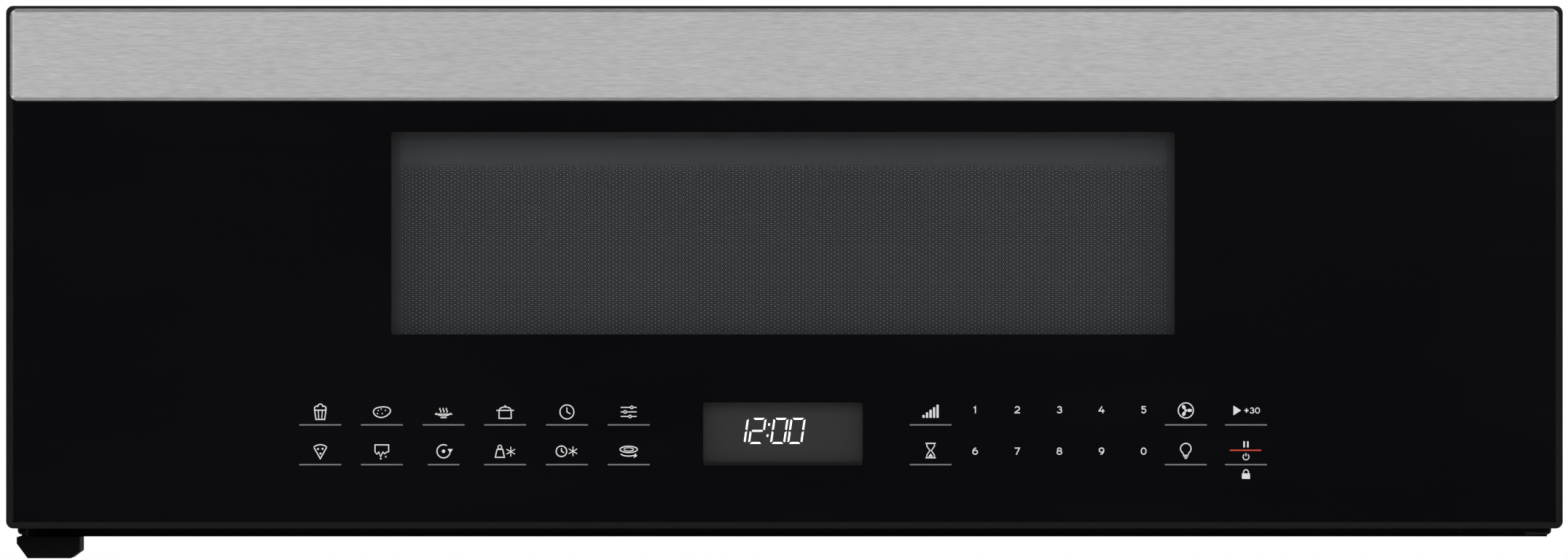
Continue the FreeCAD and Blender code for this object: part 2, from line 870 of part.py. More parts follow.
def outer_cabinet():
    """The folded wrapper: top, sides and two flanges below, with the openings in its top."""
    depth = (case_front, case_back)
    top_sheet = (inner_top, case_top)
    clear_floor = (inner_side - S.flange) * 2
    shell = Body("wrapper")
    shell.add(
        "XZ", depth, (-half_case, shell_bottom),
        rounded(S.case_width, case_top - shell_bottom, S.case_corner),
    )
    shell.cut(
        "XZ", depth, (-inner_side, inner_bottom),
        rectangle(inner_side * 2, inner_top - inner_bottom),
    )
    shell.cut("XZ", depth, (-clear_floor / 2, shell_bottom), rectangle(clear_floor, S.sheet))
    shell.cut(
        "XY", top_sheet, (-exhaust_side, exhaust_front),
        rectangle(S.exhaust_width, S.exhaust_depth),
    )
    shell.cut(
        "XY", top_sheet, (-grille_side, grille_front),
        rectangle(S.grille_length, S.grille_width),
    )
    for side in BOTH:
        shell.cut("XY", top_sheet, (bolt_across * side, bolt_along), disc(S.cabinet_bolt_radius))
    half_hole = S.cord_hole_half
    shell.cut(
        "XY", top_sheet, (cord_across - half_hole, cord_along - half_hole),
        rectangle(half_hole * 2, half_hole * 2),
    )
    keep("outer_cabinet", shell.body)


def back_panel():
    """A flat panel with the two slots that hang on the wall plate's hooks."""
    panel = Body("panel")
    span = (panel_front, case_back)
    panel.add(
        "XZ", span, (-inner_side, inner_bottom),
        rectangle(inner_side * 2, inner_top - inner_bottom),
    )
    slot_width = S.hook_width + S.fit * 2
    slot_top = S.wall_plate_sheet - S.hook_drop
    for side in BOTH:
        left = S.hook_pitch / 2 * side - slot_width / 2
        low = slot_top - S.hook_slot_height
        panel.cut("XZ", span, (left, low), rectangle(slot_width, S.hook_slot_height))
    keep("back_panel", panel.body)


def wall_mounting_plate():
    """The plate on the wall: bolt holes, slots that lighten it and two upturned hooks."""
    plate = Body("plate")
    span = (case_back, 0.0)
    plate.add(
        "XZ", span, (-S.wall_plate_width / 2, -S.wall_plate_height / 2),
        rectangle(S.wall_plate_width, S.wall_plate_height),
    )
    for across in BOTH:
        for up in BOTH:
            hole = (S.wall_bolt_pitch / 2 * across, S.wall_bolt_rise / 2 * up)
            plate.cut("XZ", span, hole, disc(S.wall_bolt_radius))
    slot = rectangle(S.wall_slot_width, S.wall_slot_height)
    for side in BOTH:
        left = S.wall_slot_pitch / 2 * side - S.wall_slot_width / 2
        plate.cut("XZ", span, (left, -S.wall_slot_height / 2), slot)
    hooks = []
    reach = (case_back - S.hook_reach, case_back)
    sole = -S.hook_drop
    for side, name in zip(BOTH, ("left", "right")):
        middle = S.hook_pitch / 2 * side
        sides = (middle - S.hook_width / 2, middle + S.hook_width / 2)
        tread = (sole, sole + S.wall_plate_sheet)
        lip = (reach[0], reach[0] + S.wall_plate_sheet)
        hooks.append(block(f"hook_arm_{name}", sides, reach, tread))
        hooks.append(block(f"hook_lip_{name}", sides, lip, (sole, sole + S.hook_lip)))
    keep("wall_mounting_plate", join("hooked_plate", plate.body, *hooks))


def base_pan():
    """The floor of the case: two wells for the grease filters and two light windows."""
    pan = Body("pan")
    floor = (case_bottom, shell_bottom)
    half = half_case - S.base_inset
    pan.add(
        "XY", floor, (-half, case_front),
        rectangle(half * 2, S.case_depth - S.wall_plate_sheet),
    )
    lip_half = inner_side - S.flange
    lip = (shell_bottom, shell_bottom + S.pan_lip_height)
    for span in ((frame_back, frame_back + S.sheet), (panel_front - S.sheet, panel_front)):
        pan.add("XZ", span, (-lip_half, lip[0]), rectangle(lip_half * 2, lip[1] - lip[0]))
    opening_length = S.filter_length + S.fit * 2
    opening_width = S.filter_width + S.fit * 2
    for side in BOTH:
        middle = (filter_inner + S.filter_length / 2) * side
        left = middle - opening_length / 2
        front = filter_front - S.fit
        pan.add(
            "XY", (shell_bottom, well_top), (left - S.sheet, front - S.sheet),
            rectangle(opening_length + S.sheet * 2, opening_width + S.sheet * 2),
        )
        pan.cut(
            "XY", (case_bottom, well_ceiling), (left, front),
            rectangle(opening_length, opening_width),
        )
        pan.cut(
            "XY", (well_ceiling, well_top), (left + S.filter_ledge, front + S.filter_ledge),
            rectangle(opening_length - S.filter_ledge * 2, opening_width - S.filter_ledge * 2),
        )
        light_left = S.light_offset * side - S.light_length / 2
        pan.cut(
            "XY", floor, (light_left, light_front),
            rectangle(S.light_length, S.light_width),
        )
    keep("base_pan", pan.body)


def front_frame():
    """The plate round the cavity mouth, with slots for the latch, the hinge and hot air."""
    frame = Body("frame")
    span = (case_front, frame_back)
    frame.add(
        "XZ", span, (-inner_side, inner_bottom),
        rectangle(inner_side * 2, inner_top - inner_bottom),
    )
    frame.cut(
        "XZ", span, (-cavity_side, cavity_floor),
        rounded(cavity_side * 2, S.cavity_height, S.cavity_corner),
    )
    for side in BOTH:
        corner = (latch_across - arm_slot_width / 2, S.latch_arm_pitch / 2 * side + arm_slot_low)
        frame.cut("XZ", span, corner, rectangle(arm_slot_width, arm_slot_height))
    hinge_left = hinge_across - S.hinge_arm_width / 2 - S.fit
    frame.cut(
        "XZ", span, (hinge_left, hinge_arm_low - S.fit),
        rectangle(S.hinge_arm_width + S.fit * 2, S.hinge_arm_thick + S.fit * 2),
    )
    row_length = S.frame_vent_pitch * (S.frame_vent_count - 1) + S.frame_vent_width
    first = frame.cut(
        "XZ", span, (-row_length / 2, inner_top - S.frame_vent_drop - S.frame_vent_height),
        rectangle(S.frame_vent_width, S.frame_vent_height),
    )
    frame.repeat(first, "H_Axis", S.frame_vent_pitch, S.frame_vent_count)
    keep("front_frame", frame.body)


def fasteners():
    """Weld nuts for the cabinet bolts and the rubber door stops."""
    nuts = []
    stops = []
    half = S.bumper_half
    for side, name in zip(BOTH, ("left", "right")):
        foot = (bolt_across * side, bolt_along, inner_top - S.weld_nut_height)
        nut = prism(
            f"nut_{name}", S.weld_nut_sides, "z", foot, S.weld_nut_radius, S.weld_nut_height,
        )
        thread = rod(f"nut_bore_{name}", "z", foot, S.cabinet_bolt_radius, S.weld_nut_height)
        nuts.append(carve(f"weld_nut_{name}", nut, thread))
        for level in BOTH:
            across, up = S.bumper_across * side, S.bumper_up * level
            stops.append(block(
                f"stop_{name}_{'low' if level < 0 else 'high'}", (across - half, across + half),
                (door_back + S.fit, case_front), (up - half, up + half),
            ))
    keep("cabinet_weld_nuts", group("weld_nuts", *nuts))
    keep("door_bumpers", group("stops", *stops))


def power_cord_bushing():
    """A square bushing in the top sheet with a flange on each side of it."""
    low = inner_top - S.cord_flange_thick
    high = case_top + S.cord_flange_thick
    pieces = []
    for name, reach, span in (
        ("sleeve", S.cord_hole_half, (low, high)),
        ("low", S.cord_hole_half + S.cord_flange, (low, inner_top)),
        ("high", S.cord_hole_half + S.cord_flange, (case_top, high)),
    ):
        pieces.append(block(
            f"bushing_{name}", (cord_across - reach, cord_across + reach),
            (cord_along - reach, cord_along + reach), span,
        ))
    foot = (cord_across, cord_along, low)
    bore = rod("bushing_bore", "z", foot, S.cord_bore, high - low)
    keep("power_cord_bushing", carve("bushing", join("bushing_body", *pieces), bore))


# Cooking cavity ------------------------------------------------------------------------------

def oven_cavity():
    """The welded cavity with its flange, vents, lamp holes, waveguide port and shaft hole."""
    tub = Body("tub")
    sheet = S.cavity_sheet
    flange = S.cavity_sheet + S.cavity_flange
    tub.add(
        "XZ", (frame_back, cavity_rear + sheet), (-cavity_outer_side, cavity_under),
        rounded((cavity_side + sheet) * 2, S.cavity_height + sheet * 2, S.cavity_corner + sheet),
    )
    tub.add(
        "XZ", (frame_back, frame_back + sheet), (-cavity_side - flange, cavity_floor - flange),
        rectangle((cavity_side + flange) * 2, S.cavity_height + flange * 2),
    )
    tub.cut(
        "XZ", (frame_back, cavity_rear), (-cavity_side, cavity_floor),
        rounded(cavity_side * 2, S.cavity_height, S.cavity_corner),
    )
    tub.cut("XY", (cavity_under, cavity_floor), (0.0, cavity_middle), disc(S.shaft_hole))
    right_wall = (cavity_side, cavity_outer_side)
    tub.cut(
        "YZ", right_wall, (port_front, port_low),
        rectangle(S.port_width, S.port_height),
    )
    lamp_slot = tub.cut(
        "YZ", right_wall, (lamp_along, lamp_low),
        rectangle(S.lamp_slot_width, S.lamp_slot_height),
    )
    tub.repeat(lamp_slot, "H_Axis", S.lamp_slot_pitch, S.lamp_slot_count)
    slot = tub.cut(
        "YZ", (-cavity_outer_side, -cavity_side),
        (
            cavity_rear - S.cavity_vent_back_gap - S.cavity_vent_pitch * S.cavity_vent_count,
            cavity_ceiling - S.cavity_vent_drop - S.cavity_vent_height,
        ),
        rectangle(S.cavity_vent_width, S.cavity_vent_height),
    )
    tub.repeat(slot, "H_Axis", S.cavity_vent_pitch, S.cavity_vent_count)
    keep("oven_cavity", tub.body)


def waveguide_cover():
    """The mica sheet over the port, on the cavity's inner face."""
    mica = Body("mica")
    lap = S.mica_overlap
    mica.add(
        "YZ", (cavity_side - S.mica_thick, cavity_side), (port_front - lap, port_low - lap),
        rectangle(S.port_width + lap * 2, S.port_height + lap * 2),
    )
    keep("waveguide_cover", mica.body)


def cavity_lamp():
    """A bulb in its socket, in a box over the lamp slots."""
    row = S.lamp_slot_pitch * (S.lamp_slot_count - 1) + S.lamp_slot_width
    middle = (lamp_along + row / 2, lamp_low + S.lamp_slot_height / 2)
    half_plate = S.lamp_plate / 2
    plate_side = cavity_outer_side + S.sheet
    shade = block(
        "lamp_shade", (cavity_outer_side, cavity_outer_side + S.lamp_depth),
        (middle[0] - half_plate, middle[0] + half_plate),
        (middle[1] - half_plate, middle[1] + half_plate),
    )
    hollow = half_plate - S.sheet
    room = block(
        "lamp_room", (cavity_outer_side, cavity_outer_side + S.lamp_depth - S.sheet),
        (middle[0] - hollow, middle[0] + hollow),
        (middle[1] - hollow, middle[1] + hollow),
    )
    bulb_length = S.lamp_depth - S.sheet * 3
    start = (plate_side + S.sheet, middle[0], middle[1])
    bulb = rod("bulb", "x", start, S.bulb_radius, bulb_length)
    half_socket = S.socket_width / 2
    socket_left = cavity_outer_side + S.lamp_depth
    socket = block(
        "lamp_socket", (socket_left - S.sheet, socket_left + S.socket_width),
        (middle[0] - half_socket, middle[0] + half_socket),
        (middle[1] - half_socket, middle[1] + half_socket),
    )
    keep("cavity_lamp", join("lamp", carve("lamp_box", shade, room), bulb, socket))


def cavity_sensors():
    """The thermostat on the cavity roof."""
    half = S.sensor_flange / 2
    narrow = S.sensor_radius
    foot = block(
        "thermostat_foot", (-half, half), (cavity_middle - narrow, cavity_middle + narrow),
        (cavity_roof, cavity_roof + S.sheet),
    )
    start = (0.0, cavity_middle, cavity_roof)
    cap = prism(
        "thermostat_cap", S.sensor_sides, "z", start, S.sensor_radius, S.sensor_height,
    )
    keep("cavity_sensors", join("thermostat", foot, cap))


# Turntable -----------------------------------------------------------------------------------

def turntable():
    """Motor, drive coupler, glass tray, three-armed roller stay and rollers about one axis."""
    axis = (0.0, cavity_middle)
    foot = (axis[0], axis[1], motor_bottom)
    can = rod("motor_can", "z", foot, S.motor_radius, S.motor_height)
    bore_foot = (axis[0], axis[1], motor_top - S.motor_bore_depth)
    bore_radius = S.shaft_radius + S.axle_running
    bore = prism("motor_bore", S.bore_sides, "z", bore_foot, bore_radius, S.motor_bore_depth)
    ears = block(
        "motor_ears", (-S.motor_ear_reach, S.motor_ear_reach),
        (axis[1] - S.motor_ear_width / 2, axis[1] + S.motor_ear_width / 2),
        (motor_top - S.motor_ear_thick, motor_top),
    )
    keep("turntable_motor", carve("motor", join("motor_body", can, ears), bore))

    coupler = Body("coupler")
    coupler_low = cavity_floor + S.coupler_lift
    shaft_low = motor_top - S.motor_bore_depth + S.shaft_end_gap
    coupler.add("XY", (coupler_low, tray_under), axis, regular(S.coupler_hub, S.coupler_sides))
    coupler.add("XY", (shaft_low, coupler_low), axis, regular(S.shaft_radius, S.bore_sides))
    half_lobe = S.coupler_lobe / 2
    lobe = coupler.add(
        "XY", (coupler_low, tray_under), axis,
        path(
            (S.coupler_hub / 2, -half_lobe), (S.coupler_radius, -half_lobe),
            (S.coupler_radius, half_lobe), (S.coupler_hub / 2, half_lobe),
        ),
    )
    coupler.spin(lobe, 3)
    keep("drive_coupler", coupler.body)

    tray = Body("tray")
    rim_start = tray_radius - S.tray_rim_width
    tray.revolve(
        (axis[0], axis[1], tray_under),
        path(
            (0.0, 0.0), (rim_start, 0.0), (tray_radius, S.tray_rim_height),
            (tray_radius - S.tray_rim_thick, S.tray_rim_height + S.tray_rim_thick),
            (rim_start - S.tray_rim_thick / 2, S.tray_glass), (0.0, S.tray_glass),
        ),
    )
    lug_start = S.coupler_hub + S.fit
    half_lug = S.tray_lug_width / 2
    lug = tray.add(
        "XY", (tray_under - S.tray_lug_height, tray_under), axis,
        path(
            (-lug_start, -half_lug), (-lug_start, half_lug),
            (-lug_start - S.tray_lug_length, half_lug),
            (-lug_start - S.tray_lug_length, -half_lug),
        ),
    )
    tray.spin(lug, 3)
    keep("turntable_tray", tray.body)

    roller_start = S.roller_track - S.roller_width / 2
    axle_end = roller_start + S.roller_width + S.axle_end
    stay = Body("stay")
    level = (roller_axis - S.stay_height / 2, roller_axis + S.stay_height / 2)
    stay.add("XY", level, axis, regular(S.stay_hub_radius, S.roller_sides))
    half_arm = S.stay_arm_width / 2
    arm_end = roller_start - S.fit
    arm = stay.add(
        "XY", level, axis,
        path((half_arm, 0.0), (half_arm, arm_end), (-half_arm, arm_end), (-half_arm, 0.0)),
    )
    stay.spin(arm, 3)
    half_axle = S.axle_half
    axle = stay.add(
        "XY", (roller_axis - half_axle, roller_axis + half_axle), axis,
        path(
            (half_axle, S.stay_hub_radius), (half_axle, axle_end),
            (-half_axle, axle_end), (-half_axle, S.stay_hub_radius),
        ),
    )
    stay.spin(axle, 3)
    stay.cut("XY", level, axis, regular(S.stay_hub_hole, S.roller_sides))
    keep("roller_stay", stay.body)
    centre = (axis[0], axis[1], roller_axis)
    for number in range(3):
        angle = 90 + 120 * number
        label = f"roller_{number + 1}"
        wheel = spoke(
            label + "_disc", S.roller_sides, angle, centre, roller_start, S.roller_width,
            S.roller_radius,
        )
        bore = spoke(
            label + "_bore", S.bore_sides, angle, centre, roller_start, S.roller_width,
            S.axle_bore,
        )
        keep(label, carve(label + "_turned", wheel, bore))


# Microwave power -----------------------------------------------------------------------------

def waveguide():
    """A channel welded to the cavity's side, with the hole for the magnetron's antenna."""
    wall = S.waveguide_wall
    front = waveguide_front
    rear = front + S.waveguide_width
    outer = block(
        "guide_outer", (cavity_outer_side, waveguide_side), (front, rear),
        (waveguide_low, waveguide_top),
    )
    inner = block(
        "guide_inner", (cavity_outer_side, waveguide_side - wall), (front + wall, rear - wall),
        (waveguide_low + wall, waveguide_top - wall),
    )
    start = (waveguide_side - wall, tube_along, tube_height)
    hole = rod("antenna_hole", "x", start, S.antenna_hole, wall)
    keep("waveguide", carve("guide", outer, inner, hole))


def magnetron():
    """Yoke open front and back, cooling fins round the anode, magnets, antenna, filter box."""
    sides = (tube_along - S.magnetron_width / 2, tube_along + S.magnetron_width / 2)
    levels = (tube_height - S.magnetron_height / 2, tube_height + S.magnetron_height / 2)
    far = waveguide_side + S.magnetron_depth
    sheet = S.yoke_sheet
    yoke = carve(
        "yoke",
        block("yoke_outer", (waveguide_side, far), sides, levels),
        block(
            "yoke_window", (waveguide_side + sheet, far - sheet), sides,
            (levels[0] + sheet, levels[1] - sheet),
        ),
    )
    inside = S.magnetron_depth - sheet * 2
    near = waveguide_side + sheet
    pieces = [yoke]
    for name, half, start, length in (
        ("anode", S.anode_half, near, inside),
        ("magnet_near", S.magnet_half, near, S.magnet_thick),
        ("magnet_far", S.magnet_half, far - sheet - S.magnet_thick, S.magnet_thick),
    ):
        pieces.append(block(
            name, (start, start + length), (tube_along - half, tube_along + half),
            (tube_height - half, tube_height + half),
        ))
    count = int(float(S.fin_count))
    fin_room = inside - S.magnet_thick * 2
    fin_half = S.magnetron_width / 2 - S.magnet_thick
    for number in range(count):
        left = near + S.magnet_thick + fin_room / (S.fin_count + 1) * (number + 1)
        pieces.append(block(
            f"fin_{number + 1}", (left, left + S.fin_thick),
            (tube_along - fin_half, tube_along + fin_half),
            (levels[0] + sheet, levels[1] - sheet),
        ))
    start = (waveguide_side - S.antenna_length, tube_along, tube_height)
    pieces.append(prism(
        "antenna", S.bore_sides, "x", start, S.antenna_radius, S.antenna_length + sheet,
    ))
    half_box = (S.filter_box_width / 2, S.filter_box_height / 2)
    pieces.append(block(
        "filter_box", (far, far + S.filter_box_depth),
        (tube_along - half_box[0], tube_along + half_box[0]),
        (tube_height - half_box[1], tube_height + half_box[1]),
    ))
    keep("magnetron", join("tube", *pieces))


def transformer():
    """A laminated core with two coils on its middle leg, on a footed base plate."""
    foot = S.transformer_foot
    right = inner_side - S.flange - S.transformer_side_gap - foot
    left = right - S.transformer_width
    front = frame_back + S.transformer_front_gap
    rear = front + S.transformer_depth
    base = shell_bottom
    core_low = base + S.transformer_foot_thick
    core_high = core_low + S.transformer_height
    core_front = front + S.coil_overhang
    core_rear = rear - S.coil_overhang
    leg = S.core_leg
    middle = (left + right) / 2
    window = (S.transformer_width - leg * 4) / 2
    core = block("core_stack", (left, right), (core_front, core_rear), (core_low, core_high))
    tools = []
    for side, name in zip(BOTH, ("left", "right")):
        inner = middle + leg * side
        outer = inner + window * side
        span = (outer, inner) if side < 0 else (inner, outer)
        tools.append(block(
            f"core_window_{name}", span, (core_front, core_rear),
            (core_low + leg, core_high - leg),
        ))
    pieces = [carve("core", core, *tools)]
    coil_room = (core_high - core_low - leg * 2 - S.coil_gap) / 2
    for number, name in enumerate(("primary", "secondary")):
        low = core_low + leg + (coil_room + S.coil_gap) * number
        pieces.append(block(
            f"{name}_coil", (middle - leg - window, middle + leg + window), (front, rear),
            (low, low + coil_room),
        ))
    pieces.append(block(
        "transformer_foot_plate", (left - foot, right + foot), (core_front, core_rear),
        (base, core_low),
    ))
    keep("high_voltage_transformer", join("wound_core", *pieces))


def capacitor():
    """An oval can with four blades, held by a footed clamp."""
    right = inner_side - S.capacitor_side_gap
    left = right - S.capacitor_width
    front = panel_front - S.capacitor_back_gap - S.capacitor_length
    round_end = S.capacitor_width / 2 - S.trim_fit
    base = shell_bottom
    top = base + S.capacitor_height
    can = Body("can")
    can.add(
        "XY", (base, top), (left, front),
        rounded(S.capacitor_width, S.capacitor_length, round_end),
    )
    foot_front = front + S.capacitor_length
    strap = S.clamp_sheet
    middle = (left + right) / 2
    pieces = [can.body]
    pieces.append(block(
        "clamp_riser", (middle - S.clamp_foot, middle + S.clamp_foot),
        (foot_front - strap, foot_front + strap), (base, base + S.clamp_height),
    ))
    pieces.append(block(
        "clamp_sole", (middle - S.clamp_foot, middle + S.clamp_foot),
        (foot_front, foot_front + S.clamp_foot), (base, base + strap),
    ))
    centre = front + S.capacitor_length / 2
    for side, name in zip(BOTH, ("front", "rear")):
        along = centre + S.terminal_pitch / 2 * side
        for lane, place_name in zip(BOTH, ("left", "right")):
            across = middle + S.terminal_width * lane
            pieces.append(block(
                f"blade_{name}_{place_name}",
                (across - S.terminal_width / 2, across + S.terminal_width / 2),
                (along, along + S.terminal_thick), (top, top + S.terminal_height),
            ))
    keep("high_voltage_capacitor", join("clamped_can", *pieces))


def cooling_fan():
    """The magnetron's axial fan, its motor and the shroud that carries both."""
    centre = (fan_across, fan_along, fan_height)
    half = S.fan_plate_half
    left, right = fan_across - half, fan_across + half
    low, high = fan_height - half, fan_height + half
    plate = block(
        "shroud_plate", (left, right), (fan_along, fan_along + S.fan_arm_thick), (low, high),
    )
    hole = rod("shroud_hole", "y", centre, S.fan_radius + S.fan_tip_gap, S.fan_arm_thick)
    pieces = [carve("shroud_ring", plate, hole)]
    for start, name in ((left, "left"), (right - S.fan_arm_thick, "right")):
        pieces.append(block(
            f"shroud_leg_{name}", (start, start + S.fan_arm_thick), (fan_along, panel_front),
            (low, high),
        ))
    motor_front = fan_along + S.fan_blade_depth + S.fan_motor_gap
    arm = (motor_front + S.fan_motor_depth, motor_front + S.fan_motor_depth + S.fan_arm_thick)
    for level, name in zip(BOTH, ("low", "high")):
        height = fan_height + S.fan_motor_half / 2 * level
        pieces.append(block(
            f"shroud_arm_{name}", (left, right), arm,
            (height - S.fan_arm_width / 2, height + S.fan_arm_width / 2),
        ))
    keep("cooling_fan_shroud", join("shroud", *pieces))

    start = (fan_across, motor_front, fan_height)
    reach = S.fan_motor_half
    stack = block(
        "fan_stack", (fan_across - reach, fan_across + reach),
        (motor_front, motor_front + S.fan_motor_depth),
        (fan_height - reach, fan_height + reach),
    )
    bore_radius = S.fan_shaft_radius + S.axle_running
    bore = prism("fan_bore", S.bore_sides, "y", start, bore_radius, S.fan_motor_depth / 2)
    keep("cooling_fan_motor", carve("fan_motor", stack, bore))

    hub_front = fan_along - S.fan_blade_depth / 2
    hub_start = (fan_across, hub_front, fan_height)
    hub_end = motor_front - S.fan_motor_gap / 2
    hub = prism(
        "fan_hub", S.fan_hub_sides, "y", hub_start, S.fan_hub_radius, hub_end - hub_front,
    )
    shaft_length = motor_front + S.fan_motor_depth / 2 - S.shaft_end_gap - hub_front
    shaft = prism(
        "fan_shaft", S.bore_sides, "y", hub_start, S.fan_shaft_radius, shaft_length,
    )
    pieces = [hub, shaft]
    count = int(float(S.fan_blade_count))
    pitch = Rotation(Vector(1, 0, 0), float(S.fan_pitch))
    root = S.fan_hub_radius - S.fan_blade_root
    for number in range(count):
        angle = 360 * number / count
        across, up = math.cos(math.radians(angle)), -math.sin(math.radians(angle))
        pieces.append(tilted(
            f"fan_blade_{number + 1}", Rotation(Vector(0, 1, 0), angle).multiply(pitch),
            (fan_across + root * across, fan_along, fan_height + root * up),
            S.fan_radius - root, S.fan_blade_depth, S.fan_blade_thick,
        ))
    keep("cooling_fan", join("fan", *pieces))


def power_board():
    """The board on four standoffs at the left wall, with its heat sink and large parts."""
    wall = -inner_side
    front = case_front + S.board_front_gap
    low = case_bottom + S.board_lift
    high = low + S.board_height
    face = wall + S.board_standoff + S.board_thick
    pieces = [block(
        "board_sheet", (wall + S.board_standoff, face), (front, front + S.board_length),
        (low, high),
    )]
    post = S.standoff_half
    for along in (front + S.board_margin, front + S.board_length - S.board_margin):
        for up in (low + S.board_margin, high - S.board_margin):
            pieces.append(block(
                f"standoff_{len(pieces)}", (wall, wall + S.board_standoff),
                (along - post, along + post), (up - post, up + post),
            ))
    unit = S.board_length / 10
    relay = S.board_height / 5
    pieces.append(block(
        "heat_sink_base", (face, face + relay), (front + unit, front + unit + S.board_thick),
        (low + relay, high - relay),
    ))
    for number in range(5):
        up = low + relay + (S.board_height - relay * 2) / 5 * number
        pieces.append(block(
            f"heat_sink_fin_{number + 1}", (face, face + relay),
            (front + unit, front + unit * 2), (up, up + S.board_thick),
        ))
    for number in range(2):
        up = low + relay + relay * 1.5 * number
        pieces.append(block(
            f"relay_{number + 1}", (face, face + relay * 0.8),
            (front + unit * 3, front + unit * 4.5), (up, up + relay),
        ))
        start = (face, front + unit * 8.2, low + relay * (1.3 + 2.2 * number))
        pieces.append(prism(
            f"reservoir_{number + 1}", S.fan_hub_sides, "x", start, relay / 2.4, relay * 1.3,
        ))
    pieces.append(block(
        "board_transformer", (face, face + relay * 1.2), (front + unit * 5.2, front + unit * 7.2),
        (low + relay * 1.5, low + relay * 3.2),
    ))
    keep("power_board", join("board", *pieces))


# Grease filters and surface lights -----------------------------------------------------------

def grease_filters():
    """Each filter is a frame round a mesh pad, with a tab to pull it down."""
    left = filter_inner
    front = filter_front
    top = case_bottom + S.filter_thick
    frame = Body("filter")
    bar = S.filter_frame
    frame.add(
        "XY", (case_bottom, top), (left, front),
        rectangle(S.filter_length, S.filter_width),
    )
    opening = rectangle(S.filter_length - bar * 2, S.filter_width - bar * 2)
    inset = S.filter_mesh_inset
    frame.cut("XY", (case_bottom, case_bottom + inset), (left + bar, front + bar), opening)
    frame.cut("XY", (top - inset, top), (left + bar, front + bar), opening)
    tab_left = left + (S.filter_length - S.filter_pull_width) / 2
    frame.add(
        "XY", (case_bottom, case_bottom + S.filter_pull_thick), (tab_left, front + bar),
        rectangle(S.filter_pull_width, S.filter_pull_length),
    )
    keep("grease_filter_right", frame.body)
    keep("grease_filter_left", mirrored("filter_twin", frame.body))


def surface_lights():
    """A lens in each light window, and the light board that lies on it."""
    lenses = []
    boards = []
    for side, name in zip(BOTH, ("left", "right")):
        lens = Body(f"lens_{name}")
        left = S.light_offset * side - S.light_length / 2
        lens_top = case_bottom + S.lens_thick
        lens.add(
            "XY", (case_bottom, lens_top), (left, light_front),
            rectangle(S.light_length, S.light_width),
        )
        lip = S.light_lip
        lens.add(
            "XY", (shell_bottom, lens_top), (left - lip, light_front - lip),
            rectangle(S.light_length + lip * 2, S.light_width + lip * 2),
        )
        lenses.append(lens.body)
        inset = S.light_board_inset
        boards.append(block(
            f"light_board_{name}", (left + inset, left + S.light_length - inset),
            (light_front + inset, light_front + S.light_width - inset),
            (lens_top, lens_top + S.light_board_thick),
        ))
    keep("surface_light_lenses", group("lenses", *lenses))
    keep("surface_light_boards", group("light_boards", *boards))


# Ventilation ---------------------------------------------------------------------------------

def scroll(inward):
    """The blower's spiral, drawn about the wheel's axis and drawn in by a wall's thickness. The
    three arcs grow by one step at each quarter turn and end in the straight mouth."""
    half = S.scroll_step / 2
    first = S.scroll_start - inward
    second = first + S.scroll_step
    third = second + S.scroll_step
    mouth = S.blower_offset - exhaust_side
    side = first - half
    tongue = S.scroll_tongue + inward
    return path(
        (-half, -half - first, first),
        (side, -half),
        (side, tongue),
        (mouth, tongue),
        (mouth, half + third),
        (half, half + third, third),
        (-half - second, half, second),
    )


def blowers():
    """Two flat centrifugal blowers above the cavity, one the mirror image of the other."""
    axis = (-S.blower_offset, blower_along)
    wall = S.scroll_wall
    housing = Body("scroll")
    housing.add("XY", (cavity_roof, housing_top), axis, scroll(0.0))
    housing.cut("XY", (housing_floor, housing_top - wall), axis, scroll(wall))
    housing.cut("XY", (housing_top - wall, housing_top), axis, disc(S.scroll_inlet))
    keep("blower_housing_left", housing.body)
    keep("blower_housing_right", mirrored("scroll_twin", housing.body))

    motor_high = housing_floor + S.blower_motor_height
    half = S.blower_motor_half
    motors = []
    for side, name in zip(BOTH, ("left", "right")):
        across = S.blower_offset * side
        stack = block(
            f"blower_stack_{name}", (across - half, across + half),
            (blower_along - half, blower_along + half), (housing_floor, motor_high),
        )
        start = (across, blower_along, motor_high - S.blower_shaft_length)
        bore_radius = S.blower_shaft_radius + S.axle_running
        bore = prism(
            f"blower_bore_{name}", S.bore_sides, "z", start, bore_radius, S.blower_shaft_length,
        )
        motors.append(carve(f"blower_motor_{name}", stack, bore))
    keep("blower_motors", group("motors", *motors))

    wheel = Body("wheel")
    low = housing_floor + S.wheel_lift
    top = low + S.wheel_height
    plate = S.wheel_plate
    count = S.wheel_blade_count
    cup_under = motor_high + S.shaft_end_gap
    shaft_low = motor_high - S.blower_shaft_length + S.shaft_end_gap
    wheel.add("XY", (low, low + plate), axis, regular(S.wheel_radius, count))
    hub = regular(S.wheel_hub_radius, S.wheel_hub_sides)
    wheel.add("XY", (low, cup_under + plate), axis, hub)
    hollow = regular(S.wheel_hub_radius - plate, S.wheel_hub_sides)
    wheel.cut("XY", (low, cup_under), axis, hollow)
    shaft = regular(S.blower_shaft_radius, S.bore_sides)
    wheel.add("XY", (shaft_low, cup_under), axis, shaft)
    inner = S.wheel_radius - S.wheel_blade_depth + plate
    outer = S.wheel_radius - plate
    lean = S.wheel_blade_lean
    thick = S.wheel_blade_thick
    blade = wheel.add(
        "XY", (low + plate, top - plate), axis,
        path((inner, 0.0), (outer, lean), (outer, lean + thick), (inner, thick)),
    )
    wheel.spin(blade, count)
    wheel.add("XY", (top - plate, top), axis, regular(S.wheel_radius, count))
    rim_hole = regular(S.wheel_radius - S.wheel_blade_depth, count)
    wheel.cut("XY", (top - plate, top), axis, rim_hole)
    keep("blower_wheel_left", wheel.body)
    keep("blower_wheel_right", mirrored("wheel_twin", wheel.body))


